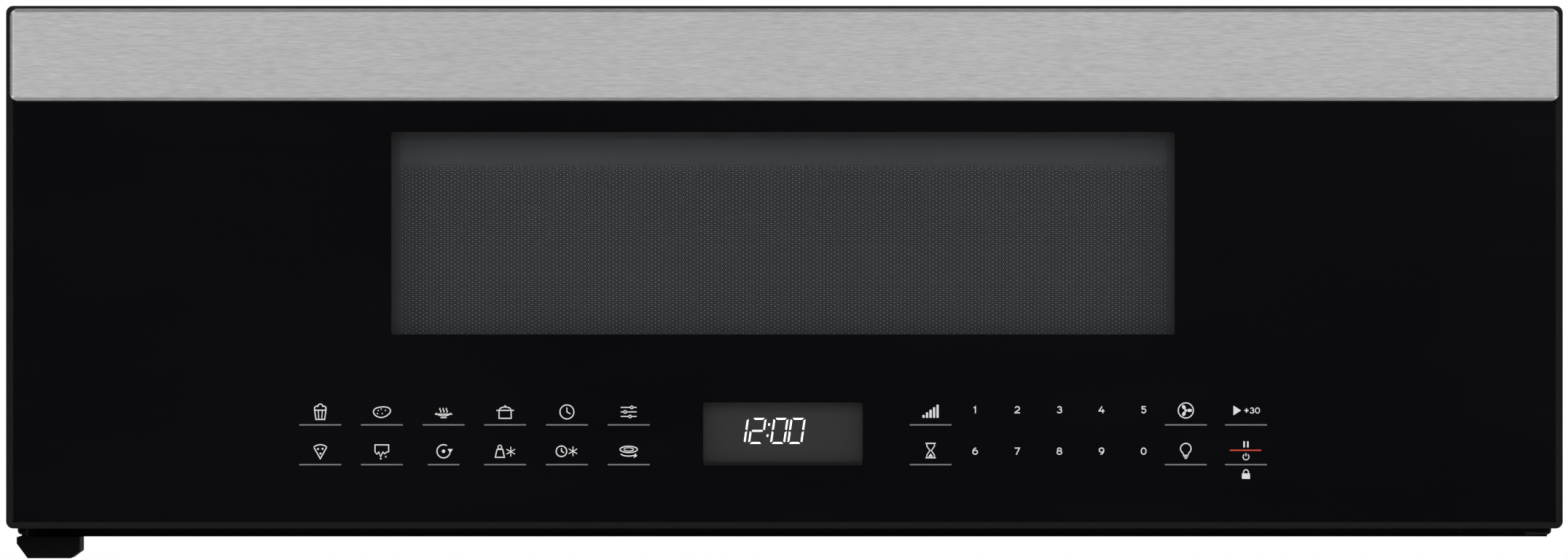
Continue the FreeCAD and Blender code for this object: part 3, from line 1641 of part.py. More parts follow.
def exhaust():
    """The collar that joins both blowers to the duct, and the flap that falls shut in it."""
    wall = S.exhaust_wall
    collar_top = case_top + S.exhaust_lip_thick
    pivot = (exhaust_rear - S.damper_pivot_gap, case_top - S.damper_drop)
    collar = Body("collar")
    collar.add(
        "XY", (cavity_roof, collar_top), (-exhaust_side, exhaust_front),
        rectangle(S.exhaust_width, S.exhaust_depth),
    )
    lip = S.exhaust_lip
    collar.add(
        "XY", (case_top, collar_top), (-exhaust_side - lip, exhaust_front - lip),
        rectangle(S.exhaust_width + lip * 2, S.exhaust_depth + lip * 2),
    )
    inner_front = exhaust_front + wall
    collar.cut(
        "XY", (cavity_roof, collar_top), (-exhaust_side + wall, inner_front),
        rectangle(S.exhaust_width - wall * 2, S.exhaust_depth - wall * 2),
    )
    duct_wall = S.scroll_wall
    collar.cut(
        "YZ", (-exhaust_side, exhaust_side), (mouth_front + duct_wall, housing_floor),
        rectangle(mouth_rear - mouth_front - duct_wall * 2, S.scroll_height - duct_wall * 2),
    )
    ledge_top = pivot[1] - S.damper_sheet / 2 - S.fit
    collar.add(
        "XY", (ledge_top - wall, ledge_top), (-exhaust_side, exhaust_front),
        rectangle(S.exhaust_width, S.damper_ledge + wall),
    )
    hole = regular(S.damper_pin_radius + S.axle_running, S.bore_sides)
    collar.cut("YZ", (-exhaust_side, exhaust_side), pivot, hole)
    keep("exhaust_collar", collar.body)

    flap_half = exhaust_side - wall - S.damper_play
    leaf = block(
        "leaf", (-flap_half, flap_half), (inner_front + S.damper_play, pivot[0]),
        (pivot[1] - S.damper_sheet / 2, pivot[1] + S.damper_sheet / 2),
    )
    start = (-exhaust_side, pivot[0], pivot[1])
    pin = prism(
        "leaf_pin", S.bore_sides, "x", start, S.damper_pin_radius, S.exhaust_width,
    )
    keep("damper_flap", join("flap", leaf, pin))


def top_grille():
    """The louvred outlet used when the air returns to the room, and its charcoal filter."""
    wall = S.grille_wall
    low = case_top - S.grille_depth
    lip = S.grille_lip
    rear = grille_front + S.grille_width
    outer = block("grille_outer", (-grille_side, grille_side), (grille_front, rear), (low, case_top))
    rim = block(
        "grille_rim", (-grille_side - lip, grille_side + lip), (grille_front - lip, rear + lip),
        (case_top, case_top + S.grille_top),
    )
    inner_half = grille_side - wall
    inner = block(
        "grille_inner", (-inner_half, inner_half), (grille_front + wall, rear - wall),
        (low, case_top + S.grille_top),
    )
    pieces = [carve("grille_frame", join("grille_shell", outer, rim), inner)]
    turn = Rotation(Vector(1, 0, 0), float(S.grille_slat_tilt))
    rib_low = case_top - S.grille_rib_height
    count = int(float(S.grille_slat_count))
    pitch = (S.grille_width - wall * 2) / S.grille_slat_count
    for number in range(count):
        corner = (-grille_side, grille_front + wall + pitch * (number + 0.2), rib_low)
        pieces.append(tilted(
            f"slat_{number + 1}", turn, corner, S.grille_length, S.grille_slat_width,
            S.grille_slat_thick,
        ))
    ribs = int(float(S.grille_rib_count))
    for number in range(ribs):
        across = S.grille_length / (S.grille_rib_count + 1) * (number + 1) - grille_side
        pieces.append(block(
            f"grille_rib_{number + 1}", (across - wall / 2, across + wall / 2),
            (grille_front, rear), (rib_low, case_top),
        ))
    keep("top_vent_grille", join("grille", *pieces))
    filter_half = inner_half - S.fit
    keep("charcoal_filter", block(
        "charcoal", (-filter_half, filter_half),
        (grille_front + wall + S.fit, rear - wall - S.fit), (rib_low - S.charcoal_thick, rib_low),
    ))


# Hinge ---------------------------------------------------------------------------------------

def hinge():
    """Upper and lower brackets with their pins, and the cover of the lower one."""
    half_arm = S.hinge_arm_width / 2
    sides = (hinge_across - half_arm, hinge_across + half_arm)
    plate_rear = frame_back + S.hinge_arm_thick
    levels = (hinge_arm_low, hinge_arm_top)
    pin_end = hinge_slot_low - S.hinge_pin_reach
    knuckle = (hinge_across, hinge_along, hinge_arm_low)
    pin_foot = (hinge_across, hinge_along, pin_end)
    upper = join(
        "upper_bracket",
        block("upper_arm", sides, (hinge_along, plate_rear), levels),
        rod("upper_knuckle", "z", knuckle, half_arm, S.hinge_arm_thick),
        block(
            "upper_plate", (-inner_side, -inner_side + S.hinge_plate_width),
            (frame_back, plate_rear), (hinge_arm_top - S.hinge_plate_height, hinge_arm_top),
        ),
        rod("upper_pin", "z", pin_foot, S.hinge_pin_radius, hinge_arm_top - pin_end),
    )
    keep("upper_hinge_bracket", upper)

    bracket_low = case_bottom - S.hinge_arm_thick
    collar_top = door_bottom - S.fit
    foot = (hinge_across, hinge_along, bracket_low)
    lower = join(
        "lower_bracket",
        block(
            "lower_arm", sides, (hinge_along - half_arm, case_front + S.hinge_foot_back),
            (bracket_low, case_bottom),
        ),
        rod("lower_collar", "z", foot, S.hinge_collar_radius, collar_top - bracket_low),
        rod("lower_pin", "z", foot, S.hinge_pin_radius, door_bottom + S.hinge_pin_reach - bracket_low),
    )
    keep("lower_hinge_bracket", lower)

    left = -half_front + S.hinge_cover_left
    bottom = case_bottom - S.hinge_cover_drop
    span = (hinge_along - S.hinge_cover_nose, case_front + S.hinge_cover_back)
    wall = S.hinge_cover_wall
    shell = Body("hinge_shell")
    shell.add("XZ", span, (left, bottom), cover_outline(0.0, S.hinge_cover_drop))
    room = (span[0] + wall, span[1] - wall)
    shell.cut("XZ", room, (left, bottom), cover_outline(wall, S.hinge_cover_drop))
    keep("lower_hinge_cover", shell.body)


def cover_outline(wall, top):
    """The hinge cover's section from its lower left corner, drawn in by a wall's thickness."""
    width = S.hinge_cover_width
    return path(
        (wall, top),
        (wall, top - S.hinge_cover_side),
        (S.hinge_cover_toe + wall / 2, wall),
        (width - S.hinge_cover_heel - wall / 2, wall),
        (width - wall, S.hinge_cover_heel_rise + wall / 2),
        (width - wall, top),
    )


# Door ----------------------------------------------------------------------------------------

def round_hinge_edge(shell):
    """Rounds the rear edge at the hinge about the pin, so that the edge turns in place."""
    shell.cut(
        "XY", (door_bottom, door_top), (0.0, 0.0),
        path(
            (-half_front, hinge_along, -S.hinge_inset),
            (hinge_across, door_back),
            (-half_front, door_back),
        ),
    )


def open_hinge_slot(shell):
    """The slot that the upper hinge arm sweeps as the door turns."""
    right = hinge_across + S.hinge_arm_width / 2 + S.hinge_slot_side
    front = hinge_along - S.hinge_arm_width / 2 - S.hinge_slot_front
    shell.cut(
        "XY", (hinge_slot_low, hinge_slot_high), (-half_front, front),
        rectangle(right + half_front, door_back - front),
    )


def door_frame():
    """The dark moulding: rim, seats for glass and band, web, hinge stile, pocket handle."""
    frame = Body("door_shell")
    frame.add(
        "XZ", (door_face, cover_front), (-half_front, door_bottom),
        rounded(half_front * 2, S.front_height, S.door_corner),
    )
    frame.dress("Chamfer", "Size", S.door_edge, on_plane("Y", door_face))
    glass_half = half_front - S.rim
    glass_low = door_bottom + S.rim_bottom
    frame.cut(
        "XZ", (door_face, glass_back), (-glass_half, glass_low),
        rectangle(glass_half * 2, band_bottom - glass_low),
    )
    fit = S.trim_fit
    frame.cut(
        "XZ", (door_face, band_back), (-band_side - fit, band_bottom),
        rounded((band_side + fit) * 2, S.band_height + fit, S.band_corner),
    )
    hollow_left = -half_front + S.stile_width
    hollow_width = glass_half - hollow_left
    frame.cut(
        "XZ", (web_back, cover_front), (hollow_left, glass_low),
        rectangle(hollow_width, S.front_height - S.rim - S.rim_bottom),
    )
    stile_low = door_bottom + S.stile_end
    frame.cut(
        "XZ", (web_back, cover_front), (-glass_half, stile_low),
        rectangle(S.stile_width - S.rim * 2, S.front_height - S.stile_end * 2),
    )
    ledge = S.web_ledge
    bar_high = door_top - S.web_bar_drop
    bar_low = bar_high - S.web_bar_height
    web_low = glass_low + ledge
    web = (glass_back, web_back)
    upper = rectangle(hollow_width - ledge, band_bottom - ledge - bar_high)
    frame.cut("XZ", web, (hollow_left, bar_high), upper)
    frame.cut("XZ", web, (hollow_left, web_low), rectangle(hollow_width - ledge, bar_low - web_low))
    scoop_left = half_front - S.scoop_width
    scoop_front = door_back - S.scoop_depth
    wall = S.scoop_wall
    frame.add(
        "XZ", (scoop_front - wall, cover_front), (scoop_left - wall, scoop_low - wall),
        rectangle(S.scoop_width + wall - S.rim / 2, S.scoop_height + wall * 2),
    )
    frame.cut(
        "XY", (scoop_low, scoop_low + S.scoop_height), (scoop_left, scoop_front), scoop_outline,
    )
    open_hinge_slot(frame)
    bore_radius = S.hinge_pin_radius + S.hinge_running
    pivot = (hinge_across, hinge_along)
    for low in (door_bottom, hinge_slot_low - S.hinge_bore_length):
        frame.cut("XY", (low, low + S.hinge_bore_length), pivot, disc(bore_radius))
    round_hinge_edge(frame)
    keep("door_frame", frame.body)


def scoop_outline(sketch):
    """The finger pocket in plan, with a rounded inner corner at the front."""
    depth = S.scoop_depth
    corner = S.scoop_corner
    path(
        (0.0, corner, corner), (corner, 0.0), (S.scoop_width, 0.0), (S.scoop_width, depth),
        (0.0, depth),
    )(sketch)


def front_glass():
    """The sheet below the band, with a fine bevel on its front edges."""
    side = half_front - S.rim - S.trim_fit
    low = door_bottom + S.rim_bottom + S.trim_fit
    glass = Body("glass")
    glass.add(
        "XZ", (door_face, glass_back), (-side, low),
        rectangle(side * 2, band_bottom - S.trim_fit * 2 - low),
    )
    glass.dress("Chamfer", "Size", S.glass_bevel, on_plane("Y", door_face))
    keep("front_glass", glass.body)


def stainless_band():
    """A shallow pan of brushed sheet that stands proud of the glass."""
    front = door_face - S.band_proud
    band = Body("band")
    band.add(
        "XZ", (front, band_back), (-band_side, band_bottom + S.trim_fit),
        rounded(band_side * 2, S.band_height - S.trim_fit, S.band_corner),
    )
    band.dress("Chamfer", "Size", S.band_bend, on_plane("Y", front))
    sheet = S.band_sheet
    band.cut(
        "XZ", (front + sheet, band_back),
        (-band_side + sheet, band_bottom + S.trim_fit + sheet),
        rounded(
            (band_side - sheet) * 2, S.band_height - S.trim_fit - sheet * 2,
            S.band_corner - sheet,
        ),
    )
    keep("stainless_band", band.body)


def door_back_cover():
    """The inner cover: window opening, latch slots, latch guides and the finger pocket's end."""
    cover = Body("back_cover")
    span = (cover_front, door_back)
    cover.add(
        "XZ", span, (-half_front, door_bottom),
        rounded(half_front * 2, S.front_height, S.door_corner),
    )
    half_bar = S.latch_bar_width / 2 + S.fit
    guide = S.latch_guide_thick
    guide_front = cover_front - S.fit - S.latch_bar_thick
    for side in BOTH:
        for start in (latch_across - half_bar - guide, latch_across + half_bar):
            low = S.latch_guide_pitch / 2 * side - S.latch_guide_height / 2
            cover.add(
                "XZ", (guide_front, cover_front), (start, low),
                rectangle(guide, S.latch_guide_height),
            )
    cover.cut(
        "XZ", span, (-S.window_left, window_low),
        rectangle(window_width, S.window_height),
    )
    for side in BOTH:
        low = S.latch_arm_pitch / 2 * side + arm_slot_low
        corner = (latch_across - arm_slot_width / 2, low)
        cover.cut("XZ", span, corner, rectangle(arm_slot_width, arm_slot_height))
    cover.cut(
        "XZ", span, (half_front - S.scoop_width, scoop_low),
        rectangle(S.scoop_width, S.scoop_height),
    )
    open_hinge_slot(cover)
    round_hinge_edge(cover)
    keep("door_back_cover", cover.body)


def choke():
    """The pressed choke with its slotted channel, and the plastic ring that closes it."""
    sheet = S.choke_sheet
    width = choke_side * 2
    height = choke_high - choke_low
    depth = (choke_front, cover_front)
    inside = (choke_front + sheet, cover_front)

    def inset(amount):
        draw = rectangle(width - amount * 2, height - amount * 2)
        return (-choke_side + amount, choke_low + amount), draw

    panel = Body("choke")
    panel.add("XZ", depth, *inset(0.0))
    panel.cut("XZ", inside, *inset(sheet))
    panel.add("XZ", inside, *inset(S.choke_channel))
    panel.cut("XZ", inside, *inset(S.choke_channel + sheet))
    panel.cut(
        "XZ", (choke_front, choke_front + sheet), (-S.window_left, window_low),
        rectangle(window_width, S.window_height),
    )
    slot_front = cover_front - S.choke_slot_depth
    row = S.choke_slot_pitch * (S.choke_slot_count - 1) + S.choke_slot_width
    for low in (choke_low, choke_high - sheet):
        slot = panel.cut(
            "XY", (low, low + sheet), (-row / 2, slot_front),
            rectangle(S.choke_slot_width, S.choke_slot_depth),
        )
        panel.repeat(slot, "H_Axis", S.choke_slot_pitch, S.choke_slot_count)
    row = S.choke_slot_pitch * (S.choke_side_slot_count - 1) + S.choke_slot_width
    start = (choke_low + choke_high - row) / 2
    for left in (-choke_side, choke_side - sheet):
        slot = panel.cut(
            "YZ", (left, left + sheet), (slot_front, start),
            rectangle(S.choke_slot_depth, S.choke_slot_width),
        )
        panel.repeat(slot, "V_Axis", S.choke_slot_pitch, S.choke_side_slot_count)
    keep("choke_panel", panel.body)

    ring = Body("choke_ring")
    span = (cover_front - S.choke_cover_thick, cover_front)
    ring.add("XZ", span, *inset(sheet + S.fit))
    ring.cut("XZ", span, *inset(S.choke_channel - S.fit))
    keep("choke_cover", ring.body)


def window():
    """The perforated screen on the choke's front wall, and the clear inner sheet."""
    lap = S.screen_lap
    corner = (-S.window_left - lap, window_low - lap)
    outline = rectangle(window_width + lap * 2, S.window_height + lap * 2)
    screen = Body("screen")
    screen_front = choke_front + S.choke_sheet
    screen.add("XZ", (screen_front, screen_front + S.screen_sheet), corner, outline)
    keep("window_screen", screen.body)
    pane = Body("pane")
    pane.add("XZ", (cover_front - S.inner_window_thick, cover_front), corner, outline)
    keep("inner_window", pane.body)


def controls():
    """The touch board on the back of the glass, and the display in its opening."""
    board = Body("touch")
    board_rear = glass_back + S.touch_thick
    board.add(
        "XZ", (glass_back, board_rear),
        (-S.touch_left, door_top - S.touch_top_drop - S.touch_height),
        rectangle(S.touch_left + S.touch_right, S.touch_height),
    )
    fit = S.fit
    board.cut(
        "XZ", (glass_back, board_rear), (display_left - fit, display_low - fit),
        rectangle(S.display_width + fit * 2, S.display_height + fit * 2),
    )
    keep("touch_board", board.body)
    lap = S.display_lap
    display = Body("display")
    display.add(
        "XZ", (glass_back, board_rear), (display_left, display_low),
        rectangle(S.display_width, S.display_height),
    )
    display.add(
        "XZ", (board_rear, board_rear + S.display_depth), (display_left - lap, display_low - lap),
        rectangle(S.display_width + lap * 2, S.display_height + lap * 2),
    )
    keep("display_module", display.body)


# Latch ---------------------------------------------------------------------------------------

def latch():
    """The sliding bar in the door with its two hooks."""
    half_bar = S.latch_bar_width / 2
    bar_rear = cover_front - S.fit
    bar_end = S.latch_arm_pitch / 2 + S.latch_bar_end
    half_arm = S.latch_arm_thick / 2
    sides = (latch_across - half_arm, latch_across + half_arm)
    pieces = [block(
        "latch_bar", (latch_across - half_bar, latch_across + half_bar),
        (bar_rear - S.latch_bar_thick, bar_rear), (-bar_end, bar_end),
    )]
    for side, name in zip(BOTH, ("low", "high")):
        low = S.latch_arm_pitch / 2 * side + arm_low
        arm = (low, low + S.latch_arm_height)
        pieces.append(block(f"latch_arm_{name}", sides, (bar_rear, latch_tip), arm))
        pieces.append(block(
            f"latch_nose_{name}", sides, (nose_front, latch_tip), (low - S.latch_nose, low),
        ))
    keep("latch_slider", join("slider", *pieces))


def latch_receiver():
    """The keeper behind the front frame with a catch for each hook, and its three switches."""
    half = S.keeper_width / 2
    wall = S.keeper_wall
    left, right = latch_across - half, latch_across + half
    rear = frame_back + S.keeper_depth
    end = S.latch_arm_pitch / 2 + S.keeper_margin
    outer = block("keeper_outer", (left, right), (frame_back, rear), (-end, end))
    inner = block(
        "keeper_inner", (left + wall, right - wall), (frame_back, rear - wall),
        (-end + wall, end - wall),
    )
    pieces = [carve("keeper_box", outer, inner)]
    for side, name in zip(BOTH, ("low", "high")):
        catch_top = S.latch_arm_pitch / 2 * side + arm_low - S.fit
        pieces.append(block(
            f"catch_{name}", (left, right), (frame_back, nose_front - S.fit),
            (catch_top - S.catch_thick, catch_top),
        ))
    keep("latch_receiver", join("keeper", *pieces))
    switches = []
    for number in range(3):
        middle = S.latch_arm_pitch / 2 * (number - 1)
        switches.append(block(
            f"switch_{number + 1}", (right, right + S.switch_thick),
            (rear - S.switch_length - wall, rear - wall),
            (middle - S.switch_height / 2, middle + S.switch_height / 2),
        ))
    keep("interlock_switches", group("switches", *switches))


# Assembly ------------------------------------------------------------------------------------

def check_model():
    """Stops with a message if an object failed or a cut removed nothing."""
    faults = []
    for piece in DOC.Objects:
        if any(word in piece.State for word in ("Invalid", "Error")):
            faults.append(f"{piece.Label}: {piece.State}")
    for feature in DOC.findObjects("PartDesign::Pocket"):
        if feature.BaseFeature and feature.Shape.Volume >= feature.BaseFeature.Shape.Volume:
            faults.append(f"{feature.Label} removes nothing")
    for node, piece in NODES.items():
        if piece.Shape.isNull() or not piece.Shape.isValid() or not piece.Shape.Solids:
            faults.append(f"{node} has no valid solid")
    if faults:
        raise RuntimeError("; ".join(faults))


def main():
    outer_cabinet()
    back_panel()
    wall_mounting_plate()
    base_pan()
    front_frame()
    fasteners()
    power_cord_bushing()
    oven_cavity()
    waveguide_cover()
    cavity_lamp()
    cavity_sensors()
    turntable()
    waveguide()
    magnetron()
    transformer()
    capacitor()
    cooling_fan()
    power_board()
    grease_filters()
    surface_lights()
    blowers()
    exhaust()
    top_grille()
    hinge()
    door_frame()
    front_glass()
    stainless_band()
    door_back_cover()
    choke()
    window()
    controls()
    latch()
    latch_receiver()
    DOC.recompute()
    check_model()
    os.makedirs("parts", exist_ok=True)
    for node, piece in NODES.items():
        piece.Shape.exportStep(f"parts/{node}.step")
    print(len(NODES), "sub-parts written")


main()
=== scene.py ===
"""An over the range microwave oven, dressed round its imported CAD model.

Metres, in the model's own frame: +X right, +Y to the wall, +Z up. The door faces -Y.
Sizes that are read off the front are written in millimetres and turned into metres by mm().
"""

import json
import math

import bmesh
import bpy
import numpy as np
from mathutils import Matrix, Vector


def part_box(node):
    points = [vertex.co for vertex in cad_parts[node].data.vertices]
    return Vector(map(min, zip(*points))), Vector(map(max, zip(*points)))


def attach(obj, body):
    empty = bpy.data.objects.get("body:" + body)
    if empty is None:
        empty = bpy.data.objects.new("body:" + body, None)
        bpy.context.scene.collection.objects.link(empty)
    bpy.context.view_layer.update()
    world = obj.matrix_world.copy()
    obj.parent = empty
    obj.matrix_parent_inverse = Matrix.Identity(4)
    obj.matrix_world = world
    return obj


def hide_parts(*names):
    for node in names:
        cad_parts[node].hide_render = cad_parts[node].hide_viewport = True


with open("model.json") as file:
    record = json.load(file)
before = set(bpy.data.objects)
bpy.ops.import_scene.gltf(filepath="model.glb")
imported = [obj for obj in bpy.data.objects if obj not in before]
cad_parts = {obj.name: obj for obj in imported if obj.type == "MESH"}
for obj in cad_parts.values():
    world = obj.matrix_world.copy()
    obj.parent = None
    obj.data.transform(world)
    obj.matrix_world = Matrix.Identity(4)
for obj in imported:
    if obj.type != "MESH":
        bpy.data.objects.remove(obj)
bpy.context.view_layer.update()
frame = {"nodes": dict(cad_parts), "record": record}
NODES = frame["nodes"]
MM = 0.001


def mm(*lengths):
    scaled = [length * MM for length in lengths]
    return scaled[0] if len(scaled) == 1 else scaled


# Where things are on the door's front, in millimetres ------------------------------------------

GLASS_FACE = -417.0
GLASS_BACK = -413.0
GLASS = (-376.0, 376.0, -121.25, 83.35)
BAND = (-377.5, 377.5, 83.75, 128.85)
BAND_FACE = -419.1
BAND_BACK = -414.2
WINDOW = (-191.6, 190.2, -29.9, 68.8)
DISPLAY = (-39.6, 38.2, -92.0, -62.95)
INK_FACE = GLASS_FACE - 0.06
DISPLAY_DARK_STRIP = (-39.6, 38.2, -93.5, -92.05)
SCREEN = (-192.0, 190.6, -31.8, 69.2)
SURROUND = (-192.6, 191.0, -33.5, 69.6)
SURROUND_MOUTH = (-187.3, 186.2, -33.0, 65.2)


# Node tools -------------------------------------------------------------------------------------

class Graph:
    """Adds nodes to one tree. An input that is another node's output is linked to it."""

    def __init__(self, tree):
        self.tree = tree

    def add(self, kind, inputs=None, **settings):
        node = self.tree.nodes.new("ShaderNode" + kind)
        for name, value in settings.items():
            setattr(node, name, value)
        self.feed(node, inputs or {})
        return node

    def feed(self, node, inputs):
        for name, value in inputs.items():
            socket = node.inputs[name]
            if isinstance(value, bpy.types.NodeSocket):
                self.tree.links.new(value, socket)
            else:
                socket.default_value = value

    def math(self, operation, first, second=0.0, clamp=False):
        node = self.add("Math", {0: first, 1: second}, operation=operation, use_clamp=clamp)
        return node.outputs[0]

    def times(self, first, second, clamp=False):
        return self.math("MULTIPLY", first, second, clamp)

    def place(self):
        """Where on the piece the surface is, in the piece's own metres."""
        return self.add("TexCoord").outputs["Object"]

    def noise(self, place, scale, detail, **more):
        inputs = {"Vector": place, "Scale": scale, "Detail": detail, **more}
        return self.add("TexNoise", inputs).outputs[0]

    def bump(self, height, strength=1.0, distance=1.0, **more):
        inputs = {"Height": height, "Strength": strength, "Distance": distance, **more}
        return self.add("Bump", inputs).outputs[0]

    def blend(self, share, first, second):
        """A colour that goes from first to second as share goes from 0 to 1."""
        node = self.add(
            "Mix", {0: share, 6: colour(first), 7: colour(second)}, data_type="RGBA",
            clamp_factor=True,
        )
        return node.outputs[2]

    def spread(self, value, low, high, new_low, new_high):
        node = self.add("MapRange", {
            "Value": value, "From Min": low, "From Max": high,
            "To Min": new_low, "To Max": new_high,
        })
        return node.outputs["Result"]


def colour(tone):
    """A grey level or three parts as an opaque colour. A node's output stays as it is."""
    if isinstance(tone, bpy.types.NodeSocket):
        return tone
    parts = tone if isinstance(tone, tuple) else (tone,) * 3
    return (*parts, 1.0)


def shared(name, inputs, outputs, fill):
    """A shader node group with named sockets; fill draws it and returns what it puts out."""
    group = bpy.data.node_groups.new(name, "ShaderNodeTree")
    for socket, start in inputs.items():
        made = group.interface.new_socket(socket, in_out="INPUT", socket_type="NodeSocketFloat")
        made.default_value = start
    for socket, kind in outputs.items():
        group.interface.new_socket(socket, in_out="OUTPUT", socket_type="NodeSocket" + kind)
    graph = Graph(group)
    source = group.nodes.new("NodeGroupInput")
    sink = group.nodes.new("NodeGroupOutput")
    results = fill(graph, source.outputs)
    for socket, result in results.items():
        group.links.new(result, sink.inputs[socket])
    return group


def fine_grain(graph, given):
    """Moulded or sprayed texture: a soft noise that lifts the surface and varies its tone."""
    place = graph.place()
    small = graph.noise(place, given["Scale"], 3.0, Roughness=0.6)
    broad = graph.noise(place, graph.times(given["Scale"], 0.04), 2.0)
    tone = graph.math("ADD", graph.times(small, 0.5), graph.times(broad, 0.5))
    return {"Tone": tone, "Normal": graph.bump(graph.times(small, given["Depth"]))}


def edge_wear(graph, given):
    """Where an edge is sharp, and more where hands and cloths rub it."""
    rounded = graph.add("Bevel", {"Radius": given["Width"]}, samples=4).outputs[0]
    flat = graph.add("NewGeometry").outputs["Normal"]
    facing = graph.add("VectorMath", {0: rounded, 1: flat}, operation="DOT_PRODUCT")
    edge = graph.spread(facing.outputs["Value"], 0.985, 0.86, 0.0, 1.0)
    patch = graph.noise(graph.place(), 60.0, 4.0)
    rubbed = graph.spread(patch, 0.45, 0.62, 0.0, 1.0)
    return {"Mask": graph.times(graph.times(edge, rubbed), given["Amount"], True)}


def settled_dust(graph, given):
    """A thin uneven film on what faces up."""
    normal = graph.add("NewGeometry").outputs["Normal"]
    up = graph.add("SeparateXYZ", {0: normal}).outputs["Z"]
    patch = graph.noise(graph.place(), 14.0, 6.0)
    flat = graph.spread(up, 0.55, 0.98, 0.0, 1.0)
    cloud = graph.spread(patch, 0.35, 0.7, 0.25, 1.0)
    return {"Mask": graph.times(graph.times(flat, cloud), given["Amount"], True)}


def brush_lines(graph, given):
    """Long thin scratches that run along X, as a belt leaves them."""
    place = graph.place()
    fine = graph.add("Mapping", {"Vector": place, "Scale": (150.0, 900.0, 2300.0)})
    broad = graph.add("Mapping", {"Vector": place, "Scale": (30.0, 300.0, 800.0)})
    thin = graph.noise(fine.outputs[0], 1.0, 3.0)
    thick = graph.noise(broad.outputs[0], 1.0, 2.0)
    tone = graph.math("ADD", graph.times(thin, 0.75), graph.times(thick, 0.25))
    return {"Tone": tone, "Normal": graph.bump(graph.times(tone, given["Depth"]))}


def fleck_mask(graph, given):
    """Scattered specks of uneven size."""
    cells = graph.add(
        "TexVoronoi", {"Vector": graph.place(), "Scale": given["Scale"], "Randomness": 1.0},
    )
    size = graph.add("SeparateXYZ", {0: cells.outputs["Color"]}).outputs["X"]
    reach = graph.times(size, given["Size"])
    inside = graph.math("SUBTRACT", reach, cells.outputs["Distance"])
    return {"Mask": graph.spread(inside, 0.0, 0.04, 0.0, 1.0)}


GRAIN = shared("fine grain", {"Scale": 900.0, "Depth": 0.00001},
               {"Tone": "Float", "Normal": "Vector"}, fine_grain)
WEAR = shared("edge wear", {"Width": 0.0004, "Amount": 0.5}, {"Mask": "Float"}, edge_wear)
DUST = shared("settled dust", {"Amount": 0.2}, {"Mask": "Float"}, settled_dust)
BRUSH = shared("brush lines", {"Depth": 0.00001}, {"Tone": "Float", "Normal": "Vector"},
               brush_lines)
FLECKS = shared("flecks", {"Scale": 600.0, "Size": 0.3}, {"Mask": "Float"}, fleck_mask)


class Finish(Graph):
    """A new material: the nodes to add, and the Principled shader that they feed."""

    def __init__(self, name):
        self.made = bpy.data.materials.new(name)
        self.made.use_nodes = True
        super().__init__(self.made.node_tree)

    def use(self, group, **values):
        return self.add("Group", values, node_tree=group).outputs

    def done(self, **values):
        """Links what varies, and sets what is even directly on the shader's own sockets."""
        shader = self.tree.nodes["Principled BSDF"]
        self.feed(shader, {name.replace("_", " "): value for name, value in values.items()})
        return self.made


# Finishes ---------------------------------------------------------------------------------------

DUST_TONE = (0.42, 0.41, 0.39)


def grained(name, light, dark, rough, scale=900.0, depth=0.00001, metal=0.0, wear=None,
            wear_amount=0.5, dust=0.12, specular=0.5):
    """A solid finish with grain, a little tone change, worn edges and some dust."""
    graph = Finish(name)
    grain = graph.use(GRAIN, Scale=scale, Depth=depth)
    tone = graph.spread(grain["Tone"], 0.32, 0.68, 0.0, 1.0)
    skin = graph.blend(tone, dark, light)
    shine = graph.spread(grain["Tone"], 0.3, 0.7, rough[0], rough[1])
    if wear:
        worn = graph.use(WEAR, Amount=wear_amount)["Mask"]
        skin = graph.blend(worn, skin, wear)
    if dust:
        film = graph.use(DUST, Amount=dust)["Mask"]
        skin = graph.blend(film, skin, DUST_TONE)
        shine = graph.math("ADD", shine, graph.times(film, 0.3), True)
    return graph.done(
        Metallic=metal, Specular_IOR_Level=specular, Base_Color=skin, Roughness=shine,
        Normal=grain["Normal"],
    )


def brushed_band():
    """Stainless sheet brushed along its length, with finger smudges."""
    graph = Finish("brushed stainless")
    lines = graph.use(BRUSH, Depth=0.0000008)
    tone = graph.spread(lines["Tone"], 0.34, 0.66, 0.0, 1.0)
    skin = graph.blend(tone, 0.50, 0.68)
    cloud = graph.noise(graph.place(), 5.0, 3.0)
    smudge = graph.spread(cloud, 0.35, 0.7, -0.015, 0.02)
    shine = graph.math("ADD", graph.spread(lines["Tone"], 0.3, 0.7, 0.38, 0.32), smudge)
    return graph.done(
        Metallic=1.0, Anisotropic=0.45, Base_Color=skin, Roughness=shine, Normal=lines["Normal"],
    )


def zinc_sheet():
    """Zinc-coated sheet with its large pale spangles."""
    graph = Finish("zinc coated sheet")
    cells = graph.add("TexVoronoi", {"Vector": graph.place(), "Scale": 120.0})
    facet = graph.add("SeparateXYZ", {0: cells.outputs["Color"]}).outputs["Y"]
    grain = graph.use(GRAIN, Scale=500.0, Depth=0.000004)
    skin = graph.blend(facet, (0.43, 0.44, 0.45), (0.58, 0.59, 0.60))
    film = graph.use(DUST, Amount=0.25)["Mask"]
    skin = graph.blend(film, skin, DUST_TONE)
    shine = graph.spread(facet, 0.0, 1.0, 0.42, 0.56)
    return graph.done(Metallic=1.0, Base_Color=skin, Roughness=shine, Normal=grain["Normal"])


